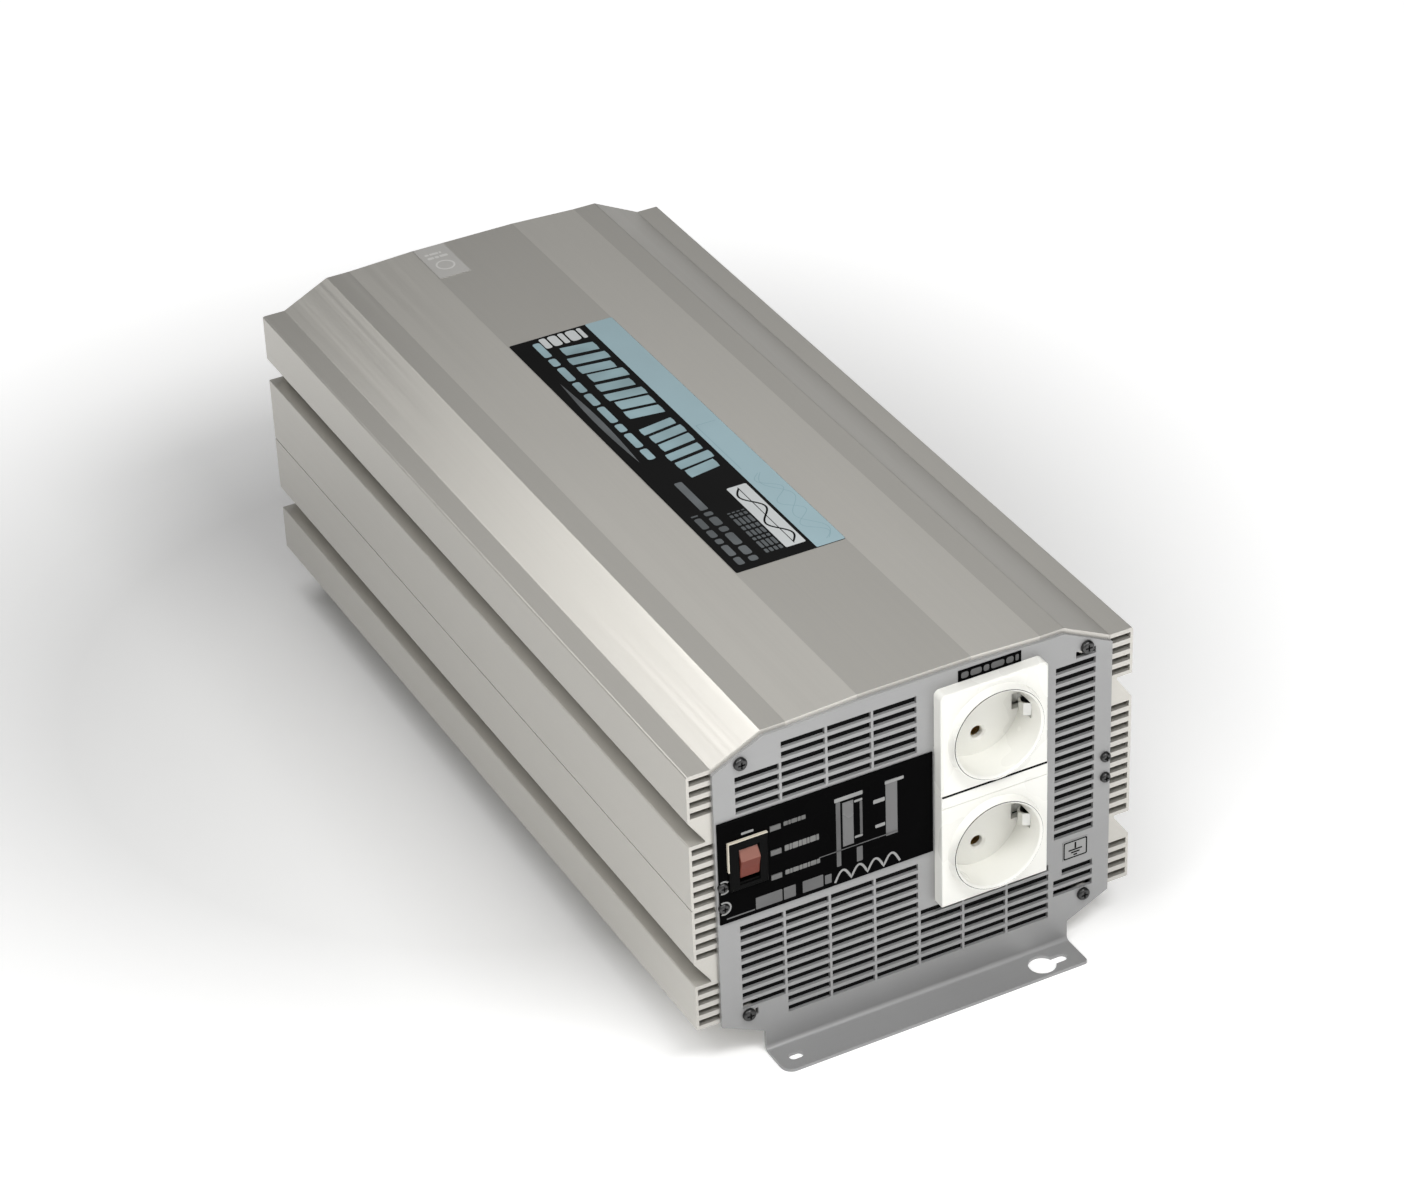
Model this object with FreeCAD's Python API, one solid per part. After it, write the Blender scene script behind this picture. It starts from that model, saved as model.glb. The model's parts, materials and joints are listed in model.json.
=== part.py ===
"""Power inverter, 2.5 kW class, with two earthed outlets: one STEP file per sub-part.

Millimetres, +Z up, front plate towards -Y. The origin is the centre of the footprint,
at the height of the surface that the two mounting flanges rest on.
"""
import FreeCAD, Part
import math
import os

V = FreeCAD.Vector

# ---------------------------------------------------------------- driving dimensions
CASE_L = 424.0            # over both end plates
HALF_W = 102.5            # half the outer width
PLATE_T = 1.5             # end plates
FLANGE_REACH = 17.0       # mounting flange, out from an end plate
REAR_REACH = 30.0         # terminal studs, out from the rear plate
AXIS_Z = 85.3             # the case profile repeats when turned half a turn about this height

# case profile, measured from AXIS_Z
TOP_RISE = 75.3           # centre flat
BAND_RISE = 73.9          # narrow outer flats
LEDGE_RISE = 63.0         # side ledges
FLAT_X = 26.0             # centre flat ends
BAND_X = 58.0             # sloping facet ends
CHAMFER_X = 69.4          # top of the long chamfer
WALL_X = 91.6             # foot of the chamfer, start of the ledge
SKIN_T = 2.4              # top and bottom skins
WALL_T = 2.2              # inner side wall
OUTER_SKIN = 1.2          # smooth outer skin of the side walls
WEB_T = 2.4               # webs between the side channels
NOTCH_TOP = 40.7          # V notch of the side wall, upper edge
NOTCH_FLOOR = 29.2
NOTCH_X = 95.2
NOTCH_LIP = 1.0
TICK_Z = -2.6             # fine groove at mid height
TICK_DEPTH = 0.6
JOINT_GAP = 0.15          # seam between the two extrusions
ARRIS_R = 1.5             # rounding of the long arrises of the roof
EDGE_R = 0.9              # and of the side wall
TIP_R = 0.5               # and of the notch floors

# end plates
PLATE_X = 91.8
PLATE_INSET = 2.0         # skin that stays visible round an end plate
PLATE_LOW_Z = 20.4        # lower side corners
TAB_X = 72.0              # half width of tab and flange
TAB_TOP_Z = 10.9
BEND_R = 2.0
FLANGE_R_LEFT = 5.0
FLANGE_R_RIGHT = 1.5
HOLE_X = 63.5             # mounting holes, from the centre line
HOLE_OUT = 9.6            # mounting holes, out from the plate
SLOT_HOLE_R = 2.1
SLOT_HOLE_L = 6.5
KEY_R = 6.0
KEY_SLOT_R = 2.4
KEY_SHIFT = 9.5

# plate screws
CORNER_SCREW = (79.5, 62.5)
SIDE_SCREW_X = 89.2
SIDE_SCREW_RISES = (-4.4, 5.9)
SCREW_R = 1.45
SCREW_HEAD_R = 2.9
SIDE_HEAD_R = 2.3
SCREW_HEAD_T = 1.9
SCREW_LEN = 12.0
BOSS_R = 4.0
SIDE_BOSS_R = 2.9
BOSS_HOLE_R = 1.55
PLATE_HOLE_R = 1.6

# ventilation slots
SLOT_ROW0_Z = 149.8
SLOT_PITCH = 4.88
SLOT_H = 3.2
COL0_X = -82.0
COL_PITCH = 20.8
COL_BAR = 1.1
RIGHT_COL = (65.0, 83.9)
LAST_ROW = 27

# outlets
OUTLET_X = 33.0
OUTLET_PITCH = 55.2
OUTLET_W = 50.0
OUTLET_H = 49.5
OUTLET_TOP_Z = 151.3
OUTLET_PROUD = 6.0
OUTLET_GAP = 0.12         # each side of the seam between the outlets
STRIP_GROOVE = 0.35       # groove over the filler strip of the lower outlet
COLLAR_RISE = 3.6         # round collar of the well, out from the face
COLLAR_W = 1.6
COLLAR_DRAFT = 0.9
WELL_R = 19.75
WELL_DEPTH = 17.5
WELL_WALL = 1.75
WELL_FLOOR = 3.0
PIN_SPACING = 19.0
PIN_HOLE_R = 2.75
CLIP_W = 6.0
CLIP_T = 1.0
EARTH_WINDOW_Y = -1.5     # front end of the openings for the earth contacts
STACK_HALF_W = 22.0       # opening behind both outlets

# control fascia
FASCIA = (-90.9, 7.0, 72.8, 122.1)      # x0, x1, z0, z1
FASCIA_T = 1.0
SCREW_NOTCH_R = 2.5       # clear round the two side screws
ROCKER_X = -78.0
ROCKER_Z = 100.2
BEZEL_W = 17.4
BEZEL_H = 23.4
BEZEL_PROUD = 1.8
SWITCH_HALF_W = 6.9       # switch body behind the bezel
SWITCH_HALF_H = 10.2
ROCKER_W = 8.7
ROCKER_R = 8.6
ROCKER_PIVOT_Y = 2.0
ROCKER_THROW = 22.0
ROCKER_PIN_R = 1.5
RUN_CLEAR = 0.05
LIGHT_X = (-67.8, -63.0)
LIGHT_ZS = (112.2, 100.2, 88.1)
LIGHT_H = 2.4
METERS = {"load_meter_window": (-34.8, -29.8, 90.8, 112.5),
          "battery_meter_window": (-15.0, -9.6, 88.7, 116.2)}

# rear end
FAN_X = 38.5
FAN_Z = 107.0
FAN_SIZE = 70.0
FAN_T = 25.0
FAN_BORE_R = 33.0
FAN_HOLE = 30.0
FAN_HUB_R = 14.0
FAN_BLADES = 7
FAN_SHAFT_R = 1.5
STUD_X = 34.0
STUD_Z = 42.0
STUD_R = 4.0
BUSH_R = 9.0
BUSH_PROUD = 7.0
PORT_HALF = 7.0
EARTH_X = -74.0
EARTH_Z = 38.0
EARTH_R = 2.5

# circuit boards
BOARD_Z = 28.0
BOARD_T = 1.6
BOARD_HALF_W = 86.5
FLOOR_Z = AXIS_Z - BAND_RISE + SKIN_T    # inside of the bottom skin, at the outer flats
POST_X = 64.0

TOTAL_L = FLANGE_REACH + CASE_L + REAR_REACH
FRONT_Y = FLANGE_REACH - TOTAL_L / 2
REAR_Y = FRONT_Y + CASE_L
CHAMFER_SLOPE = (BAND_RISE - LEDGE_RISE) / (WALL_X - CHAMFER_X)


# ---------------------------------------------------------------- helpers
def box(x0, x1, y0, y1, z0, z1):
    return Part.makeBox(x1 - x0, y1 - y0, z1 - z0, V(x0, y0, z0))


def cyl_x(y, z, r, x0, x1):
    return Part.makeCylinder(r, x1 - x0, V(x0, y, z), V(1, 0, 0))


def cyl_y(x, z, r, y0, y1):
    return Part.makeCylinder(r, y1 - y0, V(x, y0, z), V(0, 1, 0))


def cyl_z(x, y, r, z0, z1):
    return Part.makeCylinder(r, z1 - z0, V(x, y, z0))


def polygon(points):
    return Part.makePolygon(points + points[:1])


def prism_y(outline, y0, y1):
    """Prism along Y from (x, z) corners."""
    wire = polygon([V(x, y0, z) for x, z in outline])
    return Part.Face(wire).extrude(V(0, y1 - y0, 0))


def prism_x(outline, x0, x1):
    """Prism along X from (y, z) corners."""
    wire = polygon([V(x0, y, z) for y, z in outline])
    return Part.Face(wire).extrude(V(x1 - x0, 0, 0))


def prism_z(outline, z0, z1):
    """Prism along Z from (x, y) corners."""
    wire = polygon([V(x, y, z0) for x, y in outline])
    return Part.Face(wire).extrude(V(0, 0, z1 - z0))


def oblong_z(x, y, r, length, z0, z1):
    """Round-ended slot cutter, long along X."""
    reach = length / 2 - r
    ends = [cyl_z(x + side * reach, y, r, z0, z1) for side in (-1, 1)]
    return box(x - reach, x + reach, y - r, y + r, z0, z1).fuse(ends)


def hexagon_y(x, z, across, y0, y1):
    reach = across / math.sqrt(3)
    corners = [(x + reach * math.cos(math.radians(60 * k)), z + reach * math.sin(math.radians(60 * k)))
               for k in range(6)]
    return prism_y(corners, y0, y1)


def turned(shape, angle, axis=V(0, 1, 0), centre=V(0, 0, 0)):
    copy = shape.copy()
    copy.rotate(centre, axis, angle)
    return copy


def moved(shape, x=0.0, y=0.0, z=0.0):
    copy = shape.copy()
    copy.translate(V(x, y, z))
    return copy


def edges_along(shape, direction, keep):
    """Straight edges parallel to direction whose middle passes the test."""
    found = []
    for edge in shape.Edges:
        if edge.Curve.TypeId != "Part::GeomLine":
            continue
        along = abs(edge.tangentAt(edge.FirstParameter).dot(direction))
        if along > 0.999 and keep(edge.CenterOfMass):
            found.append(edge)
    return found


def save(name, *shapes):
    solids = [solid for shape in shapes for solid in shape.Solids]
    node = solids[0] if len(solids) == 1 else Part.makeCompound(solids)
    bad = [solid for solid in solids if not solid.isValid()]
    print(name, "solids", len(solids), "volume", round(node.Volume), "invalid" if bad else "")
    node.exportStep("parts/" + name + ".step")


# ---------------------------------------------------------------- case
def chamfer_line(x, inset):
    """Height of the chamfer, set in by inset at right angles, at distance x from the centre."""
    drop = inset * math.hypot(1, CHAMFER_SLOPE)
    return BAND_RISE - (x - CHAMFER_X) * CHAMFER_SLOPE - drop


def chamfer_corner(inset):
    """Distance from the centre at which the inset chamfer meets the inset outer flat."""
    drop = inset * math.hypot(1, CHAMFER_SLOPE) - inset
    return CHAMFER_X - drop / CHAMFER_SLOPE


def roof_line(inset):
    """Corners of the roof from right to left, between the two chamfer tops."""
    corner = chamfer_corner(inset)
    return [(corner, BAND_RISE - inset), (BAND_X, BAND_RISE - inset), (FLAT_X, TOP_RISE - inset),
            (-FLAT_X, TOP_RISE - inset), (-BAND_X, BAND_RISE - inset), (-corner, BAND_RISE - inset)]


def notch_line(edge):
    """V notch of the left side wall: a slope that ends in a level floor."""
    floor = edge - NOTCH_TOP + NOTCH_FLOOR
    return [(-HALF_W, edge), (-NOTCH_X, floor + NOTCH_LIP), (-NOTCH_X, floor), (-HALF_W, floor)]


def case_outline():
    """Roof and left side wall of one extrusion, as one closed line."""
    end_x = WALL_X - 2 * JOINT_GAP
    foot_x = WALL_X - JOINT_GAP
    inner_x = WALL_X - WALL_T
    foot_rise = chamfer_line(end_x, SKIN_T) - 4 * JOINT_GAP
    tick = [(-HALF_W, TICK_Z + TICK_DEPTH), (-HALF_W + TICK_DEPTH, TICK_Z), (-HALF_W, TICK_Z)]
    outline = [(end_x, chamfer_line(end_x, 0))] + roof_line(0)
    outline += [(-WALL_X, LEDGE_RISE), (-HALF_W, LEDGE_RISE)]
    outline += notch_line(NOTCH_TOP) + tick + notch_line(-NOTCH_FLOOR)
    outline += [(-HALF_W, -LEDGE_RISE), (-foot_x, -LEDGE_RISE), (-foot_x, -foot_rise), (-inner_x, -foot_rise)]
    outline += [(-inner_x, chamfer_line(inner_x, SKIN_T))] + roof_line(SKIN_T)[::-1]
    outline += [(end_x, chamfer_line(end_x, SKIN_T))]
    return outline


def channel_boxes(y0, y1):
    """Air channels inside the left side wall: four, eleven and four."""
    skin = 1.8
    groups = [(LEDGE_RISE - 2.0, NOTCH_TOP + skin, 4), (NOTCH_FLOOR - skin, -NOTCH_FLOOR + skin, 11),
              (-NOTCH_TOP - skin, -LEDGE_RISE + 2.0, 4)]
    boxes = []
    for top, bottom, count in groups:
        pitch = (top - bottom + WEB_T) / count
        for k in range(count):
            high = top - k * pitch
            boxes.append(box(-HALF_W + OUTER_SKIN, -WALL_X, y0, y1, high - pitch + WEB_T, high))
    return boxes


def screw_points():
    """Screw centres (x, rise) that one extrusion carries."""
    corner_x, corner_rise = CORNER_SCREW
    points = [(side * corner_x, corner_rise, BOSS_R) for side in (-1, 1)]
    return points + [(-SIDE_SCREW_X, rise, SIDE_BOSS_R) for rise in SIDE_SCREW_RISES]


def plate_screw_points(side=1):
    """The eight screw centres (x, z) of an end plate: side -1 for the plate that faces the other way."""
    upper = [(side * x, AXIS_Z + rise) for x, rise, _ in screw_points()]
    lower = [(-side * x, AXIS_Z - rise) for x, rise, _ in screw_points()]
    return upper + lower


def soften(body):
    """Round the long outer arrises of an extrusion."""
    rounds = [(side * CHAMFER_X, BAND_RISE, ARRIS_R) for side in (-1, 1)]
    rounds += [(-WALL_X, LEDGE_RISE, ARRIS_R)]
    rounds += [(-HALF_W, rise, EDGE_R) for rise in (LEDGE_RISE, -LEDGE_RISE, NOTCH_TOP, -NOTCH_FLOOR)]
    rounds += [(-HALF_W, rise, TIP_R) for rise in (NOTCH_FLOOR, -NOTCH_TOP)]
    for x, rise, radius in rounds:
        edge = edges_along(body, V(0, 1, 0), lambda c: math.hypot(c.x - x, c.z - rise) < 0.05)
        body = body.makeFillet(radius, edge)
    return body


def case_extrusion():
    """One extrusion about its own axis, left wall and roof."""
    y0 = FRONT_Y + PLATE_T
    y1 = REAR_Y - PLATE_T
    body = soften(prism_y(case_outline(), y0, y1))
    body = body.cut(channel_boxes(y0 - 1, y1 + 1))
    body = body.fuse([cyl_y(x, rise, r, y0, y1) for x, rise, r in screw_points()])
    return body.cut([cyl_y(x, rise, BOSS_HOLE_R, y0 - 1, y1 + 1) for x, rise, _ in screw_points()])


def make_case():
    shell = case_extrusion()
    save("case_extrusion_upper", moved(shell, z=AXIS_Z))
    save("case_extrusion_lower", moved(turned(shell, 180), z=AXIS_Z))


# ---------------------------------------------------------------- end plates
def plate_outline():
    """Octagonal face of an end plate, above the mounting tab."""
    top = roof_line(PLATE_INSET)
    high = chamfer_line(PLATE_X, PLATE_INSET)
    points = [(PLATE_X, high)] + top + [(-PLATE_X, high), (-PLATE_X, PLATE_LOW_Z - AXIS_Z)]
    points += [(-TAB_X, TAB_TOP_Z - AXIS_Z), (TAB_X, TAB_TOP_Z - AXIS_Z), (PLATE_X, PLATE_LOW_Z - AXIS_Z)]
    return [(x, rise + AXIS_Z) for x, rise in points]


def bent_tab():
    """Tab and flange of the front plate, bent forward, with its top in the octagon."""
    outer = BEND_R + PLATE_T
    turn = math.radians(45)
    p = [V(-TAB_X, -FLANGE_REACH, 0), V(-TAB_X, PLATE_T - outer, 0),
         V(-TAB_X, PLATE_T - outer + outer * math.sin(turn), outer - outer * math.cos(turn)),
         V(-TAB_X, PLATE_T, outer), V(-TAB_X, PLATE_T, TAB_TOP_Z + 1), V(-TAB_X, 0, TAB_TOP_Z + 1),
         V(-TAB_X, 0, outer),
         V(-TAB_X, -BEND_R + BEND_R * math.sin(turn), outer - BEND_R * math.cos(turn)),
         V(-TAB_X, -BEND_R, PLATE_T), V(-TAB_X, -FLANGE_REACH, PLATE_T)]
    line = Part.LineSegment
    parts = [line(p[0], p[1]), Part.Arc(p[1], p[2], p[3]), line(p[3], p[4]), line(p[4], p[5]),
             line(p[5], p[6]), Part.Arc(p[6], p[7], p[8]), line(p[8], p[9]), line(p[9], p[0])]
    wire = Part.Wire([part.toShape() for part in parts])
    tab = Part.Face(wire).extrude(V(2 * TAB_X, 0, 0))
    for side, radius in ((-1, FLANGE_R_LEFT), (1, FLANGE_R_RIGHT)):
        corner = edges_along(tab, V(0, 0, 1), lambda c: c.x * side > 0 and c.y < -FLANGE_REACH + 1)
        tab = tab.makeFillet(radius, corner)
    return tab


def blank_plate(screws):
    """Plate with tab and flange, outer face on y = 0, facing -Y."""
    face = prism_y(plate_outline(), 0, PLATE_T)
    plate = face.fuse(bent_tab()).removeSplitter()
    return plate.cut([cyl_y(x, z, PLATE_HOLE_R, -1, PLATE_T + 1) for x, z in screws])


def flange_slot(side):
    return oblong_z(side * HOLE_X, -HOLE_OUT, SLOT_HOLE_R, SLOT_HOLE_L, -1, PLATE_T + 1)


def keyhole():
    """Keyhole at the right: the slot's round end is the seat of the mounting screw."""
    neck = box(HOLE_X - KEY_SHIFT, HOLE_X, -HOLE_OUT - KEY_SLOT_R, -HOLE_OUT + KEY_SLOT_R, -1, PLATE_T + 1)
    entry = cyl_z(HOLE_X - KEY_SHIFT, -HOLE_OUT, KEY_R, -1, PLATE_T + 1)
    return neck.fuse([entry, cyl_z(HOLE_X, -HOLE_OUT, KEY_SLOT_R, -1, PLATE_T + 1)])


def slot_z(row):
    return SLOT_ROW0_Z - SLOT_PITCH * row


def slot(x0, x1, row):
    z = slot_z(row)
    return box(x0, x1, -1, PLATE_T + 1, z - SLOT_H / 2, z + SLOT_H / 2)


def column_slots(column, rows):
    x0 = COL0_X + COL_PITCH * column
    return [slot(x0, x0 + COL_PITCH - COL_BAR, row) for row in rows]


def front_slots():
    """Punched slots on one grid of rows: banks above, below and beside the panel."""
    slots = column_slots(0, range(2, 6))
    for column in (1, 2, 3):
        slots += column_slots(column, range(0, 6))
    slots += column_slots(0, range(17, LAST_ROW - 1))
    for column in (1, 2, 3):
        slots += column_slots(column, range(17, LAST_ROW + 1))
    for column in (4, 5, 6):
        slots += column_slots(column, range(22, LAST_ROW + 1))
    x0, x1 = RIGHT_COL
    slots += [slot(x0, x1, row) for row in list(range(2, 20)) + [24, 25]]
    slots += [slot((x0 + x1) / 2, x1, 1), slot(x0 + 4, x1, 23), slot(COL0_X, COL0_X + 7, LAST_ROW - 1)]
    return slots


def make_front_plate():
    plate = blank_plate(plate_screw_points()).cut(front_slots())
    plate = plate.cut([flange_slot(-1), keyhole()])
    low = OUTLET_TOP_Z - OUTLET_H - OUTLET_PITCH
    openings = [box(OUTLET_X - STACK_HALF_W, OUTLET_X + STACK_HALF_W, -1, 3, low + 2.5, OUTLET_TOP_Z - 2.5)]
    openings += [switch_box(0.15, -1, 3)]
    openings += [light_box(z, 0.1, -1, 3) for z in LIGHT_ZS]
    openings += [meter_box(name, 0.1, -1, 3) for name in METERS]
    save("front_plate", moved(plate.cut(openings), y=FRONT_Y))


def rear_holes():
    """Cut-outs of the rear plate, in plate coordinates, seen from outside."""
    holes = []
    for side in (-1, 1):
        holes.append(cyl_y(side * FAN_X, FAN_Z, FAN_BORE_R, -1, 3))
        holes.append(cyl_y(side * STUD_X, STUD_Z, BUSH_R + 0.2, -1, 3))
        for dx in (-FAN_HOLE, FAN_HOLE):
            for dz in (-FAN_HOLE, FAN_HOLE):
                holes.append(cyl_y(side * FAN_X + dx, FAN_Z + dz, 2.2, -1, 3))
    holes.append(box(-PORT_HALF - 0.2, PORT_HALF + 0.2, -1, 3, STUD_Z - PORT_HALF - 0.2, STUD_Z + PORT_HALF + 0.2))
    holes.append(cyl_y(-EARTH_X, EARTH_Z, EARTH_R + 0.2, -1, 3))
    return holes


def make_rear_plate():
    plate = blank_plate(plate_screw_points(-1)).cut(rear_holes() + [flange_slot(-1), flange_slot(1)])
    save("rear_plate", moved(turned(plate, 180, V(0, 0, 1)), y=REAR_Y))


def plate_screw(x, z):
    """Pan-head screw in the front plate."""
    head_r = SIDE_HEAD_R if abs(x) == SIDE_SCREW_X else SCREW_HEAD_R
    reach = 0.55 * head_r
    head = cyl_y(x, z, head_r, FRONT_Y - SCREW_HEAD_T, FRONT_Y)
    rim = [edge for edge in head.Edges if edge.CenterOfMass.y < FRONT_Y - SCREW_HEAD_T + 0.1]
    head = head.makeFillet(1.1, rim[:1])
    shank = cyl_y(x, z, SCREW_R, FRONT_Y - 0.5, FRONT_Y + SCREW_LEN)
    cross = [box(x - reach, x + reach, FRONT_Y - 3, FRONT_Y - 0.8, z - 0.35, z + 0.35),
             box(x - 0.35, x + 0.35, FRONT_Y - 3, FRONT_Y - 0.8, z - reach, z + reach)]
    return head.fuse(shank).cut(cross)


def make_plate_screws():
    middle = V(0, (FRONT_Y + REAR_Y) / 2, 0)
    save("front_plate_screws", *[plate_screw(x, z) for x, z in plate_screw_points()])
    rear = [plate_screw(x, z) for x, z in plate_screw_points(-1)]
    save("rear_plate_screws", *[turned(screw, 180, V(0, 0, 1), middle) for screw in rear])


# ---------------------------------------------------------------- control fascia
def light_box(z, gap, y0, y1):
    x0, x1 = LIGHT_X
    return box(x0 - gap, x1 + gap, y0, y1, z - LIGHT_H / 2 - gap, z + LIGHT_H / 2 + gap)


def switch_box(gap, y0, y1):
    return box(ROCKER_X - SWITCH_HALF_W - gap, ROCKER_X + SWITCH_HALF_W + gap, y0, y1,
               ROCKER_Z - SWITCH_HALF_H - gap, ROCKER_Z + SWITCH_HALF_H + gap)


def meter_box(name, gap, y0, y1):
    x0, x1, z0, z1 = METERS[name]
    return box(x0 - gap, x1 + gap, y0, y1, z0 - gap, z1 + gap)


def make_fascia():
    x0, x1, z0, z1 = FASCIA
    front = FRONT_Y - FASCIA_T
    fascia = box(x0, x1, front, FRONT_Y, z0, z1)
    rim = [edge for edge in fascia.Edges if edge.BoundBox.YMax < front + 0.01]
    fascia = fascia.makeChamfer(0.35, rim)
    cuts = [light_box(z, 0.1, front - 1, FRONT_Y + 1) for z in LIGHT_ZS]
    cuts += [meter_box(name, 0.1, front - 1, FRONT_Y + 1) for name in METERS]
    cuts.append(switch_box(0.15, front - 1, FRONT_Y + 1))
    cuts += [cyl_y(-SIDE_SCREW_X, AXIS_Z + rise, SCREW_NOTCH_R, front - 1, FRONT_Y + 1)
             for rise in SIDE_SCREW_RISES]
    save("control_fascia", fascia.cut(cuts))
    pipes = [light_box(z, 0, front - 0.4, FRONT_Y + 9) for z in LIGHT_ZS]
    save("status_light_pipes", *pipes)
    for name in METERS:
        save(name, meter_box(name, 0, front + 0.2, FRONT_Y + 2.4))


def make_display_board():
    y0 = FRONT_Y + 9.2
    board = box(-68, 4, y0, y0 + 1.6, 76, 118)
    posts = [(-58, 79), (-58, 115.3), (0, 79), (0, 115.3)]
    board = board.cut([cyl_y(x, z, 1.6, y0 - 1, y0 + 3) for x, z in posts])
    save("display_board", board)
    sleeves = []
    for x, z in posts:
        sleeve = cyl_y(x, z, 2.8, FRONT_Y + PLATE_T, y0)
        sleeves.append(sleeve.cut(cyl_y(x, z, 1.5, FRONT_Y + PLATE_T + 1.5, y0 + 1)))
    save("display_board_spacers", *sleeves)
    arrays = [meter_box(name, -0.1, FRONT_Y + 2.6, y0) for name in METERS]
    save("meter_led_arrays", *arrays)


# ---------------------------------------------------------------- power rocker
def rocker_cavity():
    """Space that the rocker swings in."""
    half = ROCKER_W / 2 + 0.3
    y = FRONT_Y + ROCKER_PIVOT_Y
    drum = cyl_x(y, ROCKER_Z, ROCKER_R + 0.35, ROCKER_X - half, ROCKER_X + half)
    rim = ROCKER_R + 0.4
    mouth = box(ROCKER_X - half, ROCKER_X + half, FRONT_Y - 6, FRONT_Y - 2.2, ROCKER_Z - rim, ROCKER_Z + rim)
    return drum.fuse(mouth)


def make_rocker_housing():
    """Bezel on the fascia and the switch body behind it, one moulding."""
    front = FRONT_Y - FASCIA_T - BEZEL_PROUD
    bezel = box(ROCKER_X - BEZEL_W / 2, ROCKER_X + BEZEL_W / 2, front, FRONT_Y - FASCIA_T,
                ROCKER_Z - BEZEL_H / 2, ROCKER_Z + BEZEL_H / 2)
    rim = [edge for edge in bezel.Edges if edge.BoundBox.YMax < front + 0.01]
    bezel = bezel.makeChamfer(0.8, rim)
    body = switch_box(0, FRONT_Y - FASCIA_T, FRONT_Y + 21)
    pin = cyl_x(FRONT_Y + ROCKER_PIVOT_Y, ROCKER_Z, ROCKER_PIN_R + RUN_CLEAR, ROCKER_X - 8, ROCKER_X + 8)
    save("rocker_housing", bezel.fuse(body).removeSplitter().cut([rocker_cavity(), pin]))
    blades = [box(ROCKER_X - 3.1, ROCKER_X + 3.1, FRONT_Y + 21, FRONT_Y + 30, ROCKER_Z + dz - 0.4,
                  ROCKER_Z + dz + 0.4) for dz in (-6.5, 0, 6.5)]
    save("rocker_terminals", *blades)


def make_power_rocker():
    """Rocker with a shallow valley, shown with its lower half pressed in."""
    y = FRONT_Y + ROCKER_PIVOT_Y
    half = ROCKER_W / 2
    drum = cyl_x(y, ROCKER_Z, ROCKER_R, ROCKER_X - half, ROCKER_X + half)
    tip = ROCKER_R
    section = [(y + 3.2, ROCKER_Z - 4.5), (y + 3.2, ROCKER_Z + 4.5), (y - 0.5, ROCKER_Z + tip),
               (y - 5.9, ROCKER_Z + tip), (y - 5.4, ROCKER_Z), (y - 5.9, ROCKER_Z - tip),
               (y - 0.5, ROCKER_Z - tip)]
    rocker = drum.common(prism_x(section, ROCKER_X - half, ROCKER_X + half))
    crest = edges_along(rocker, V(1, 0, 0), lambda c: c.y < y - 5.6 and abs(c.z - ROCKER_Z) > 3)
    rocker = rocker.makeChamfer(1.8, crest)
    pins = cyl_x(y, ROCKER_Z, ROCKER_PIN_R, ROCKER_X - 6.8, ROCKER_X + 6.8)
    rocker = rocker.fuse(pins)
    rocker = turned(rocker, ROCKER_THROW / 2, V(1, 0, 0), V(0, y, ROCKER_Z))
    save("power_rocker", rocker)


# ---------------------------------------------------------------- outlets
def outlet_housing(strip):
    """Earthed outlet about the axis of its well, outer face towards -Y, with a filler strip on top."""
    half = OUTLET_W / 2
    low = OUTLET_GAP - OUTLET_H / 2
    high = OUTLET_H / 2 + strip
    rim_y = -OUTLET_PROUD - COLLAR_RISE
    floor_y = rim_y + WELL_DEPTH
    face = box(-half, half, -OUTLET_PROUD, 0, low, high)
    upper = edges_along(face, V(0, 1, 0), lambda c: c.z > 0)
    face = face.makeFillet(0.3 if strip else 2.5, upper)
    rim = [edge for edge in face.Edges if edge.BoundBox.YMax < -OUTLET_PROUD + 0.01]
    face = face.makeChamfer(0.3 if strip else 0.7, rim)
    base_r = WELL_R + COLLAR_W + COLLAR_DRAFT
    collar = Part.makeCone(base_r - COLLAR_DRAFT, base_r, COLLAR_RISE, V(0, rim_y, 0), V(0, 1, 0))
    barrel = cyl_y(0, 0, WELL_R + WELL_WALL, -1, floor_y + WELL_FLOOR)
    lugs = box(-21.5, 21.5, -1, floor_y + WELL_FLOOR, -12, 12)
    body = face.fuse([collar, barrel, lugs]).removeSplitter()
    cuts = [cyl_y(0, 0, WELL_R, rim_y - 1, floor_y)]
    cuts.append(Part.makeCone(WELL_R + 0.8, WELL_R, 0.8, V(0, rim_y, 0), V(0, 1, 0)))
    for side in (-1, 1):
        z = side * PIN_SPACING / 2
        cuts.append(cyl_y(0, z, PIN_HOLE_R, 0, floor_y + WELL_FLOOR + 1))
        cuts.append(Part.makeCone(PIN_HOLE_R + 1.0, PIN_HOLE_R, 1.0, V(0, floor_y, z), V(0, 1, 0)))
        x0, x1 = sorted((side * 16.0, side * 22.5))
        cuts.append(box(x0, x1, EARTH_WINDOW_Y, floor_y + WELL_FLOOR + 1, -3.7, 3.7))
    if strip:
        groove_z = OUTLET_H / 2
        cuts.append(box(-half - 1, half + 1, -OUTLET_PROUD - 1, -OUTLET_PROUD + STRIP_GROOVE,
                        groove_z - STRIP_GROOVE / 2, groove_z + STRIP_GROOVE / 2))
    return body.cut(cuts)


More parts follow.
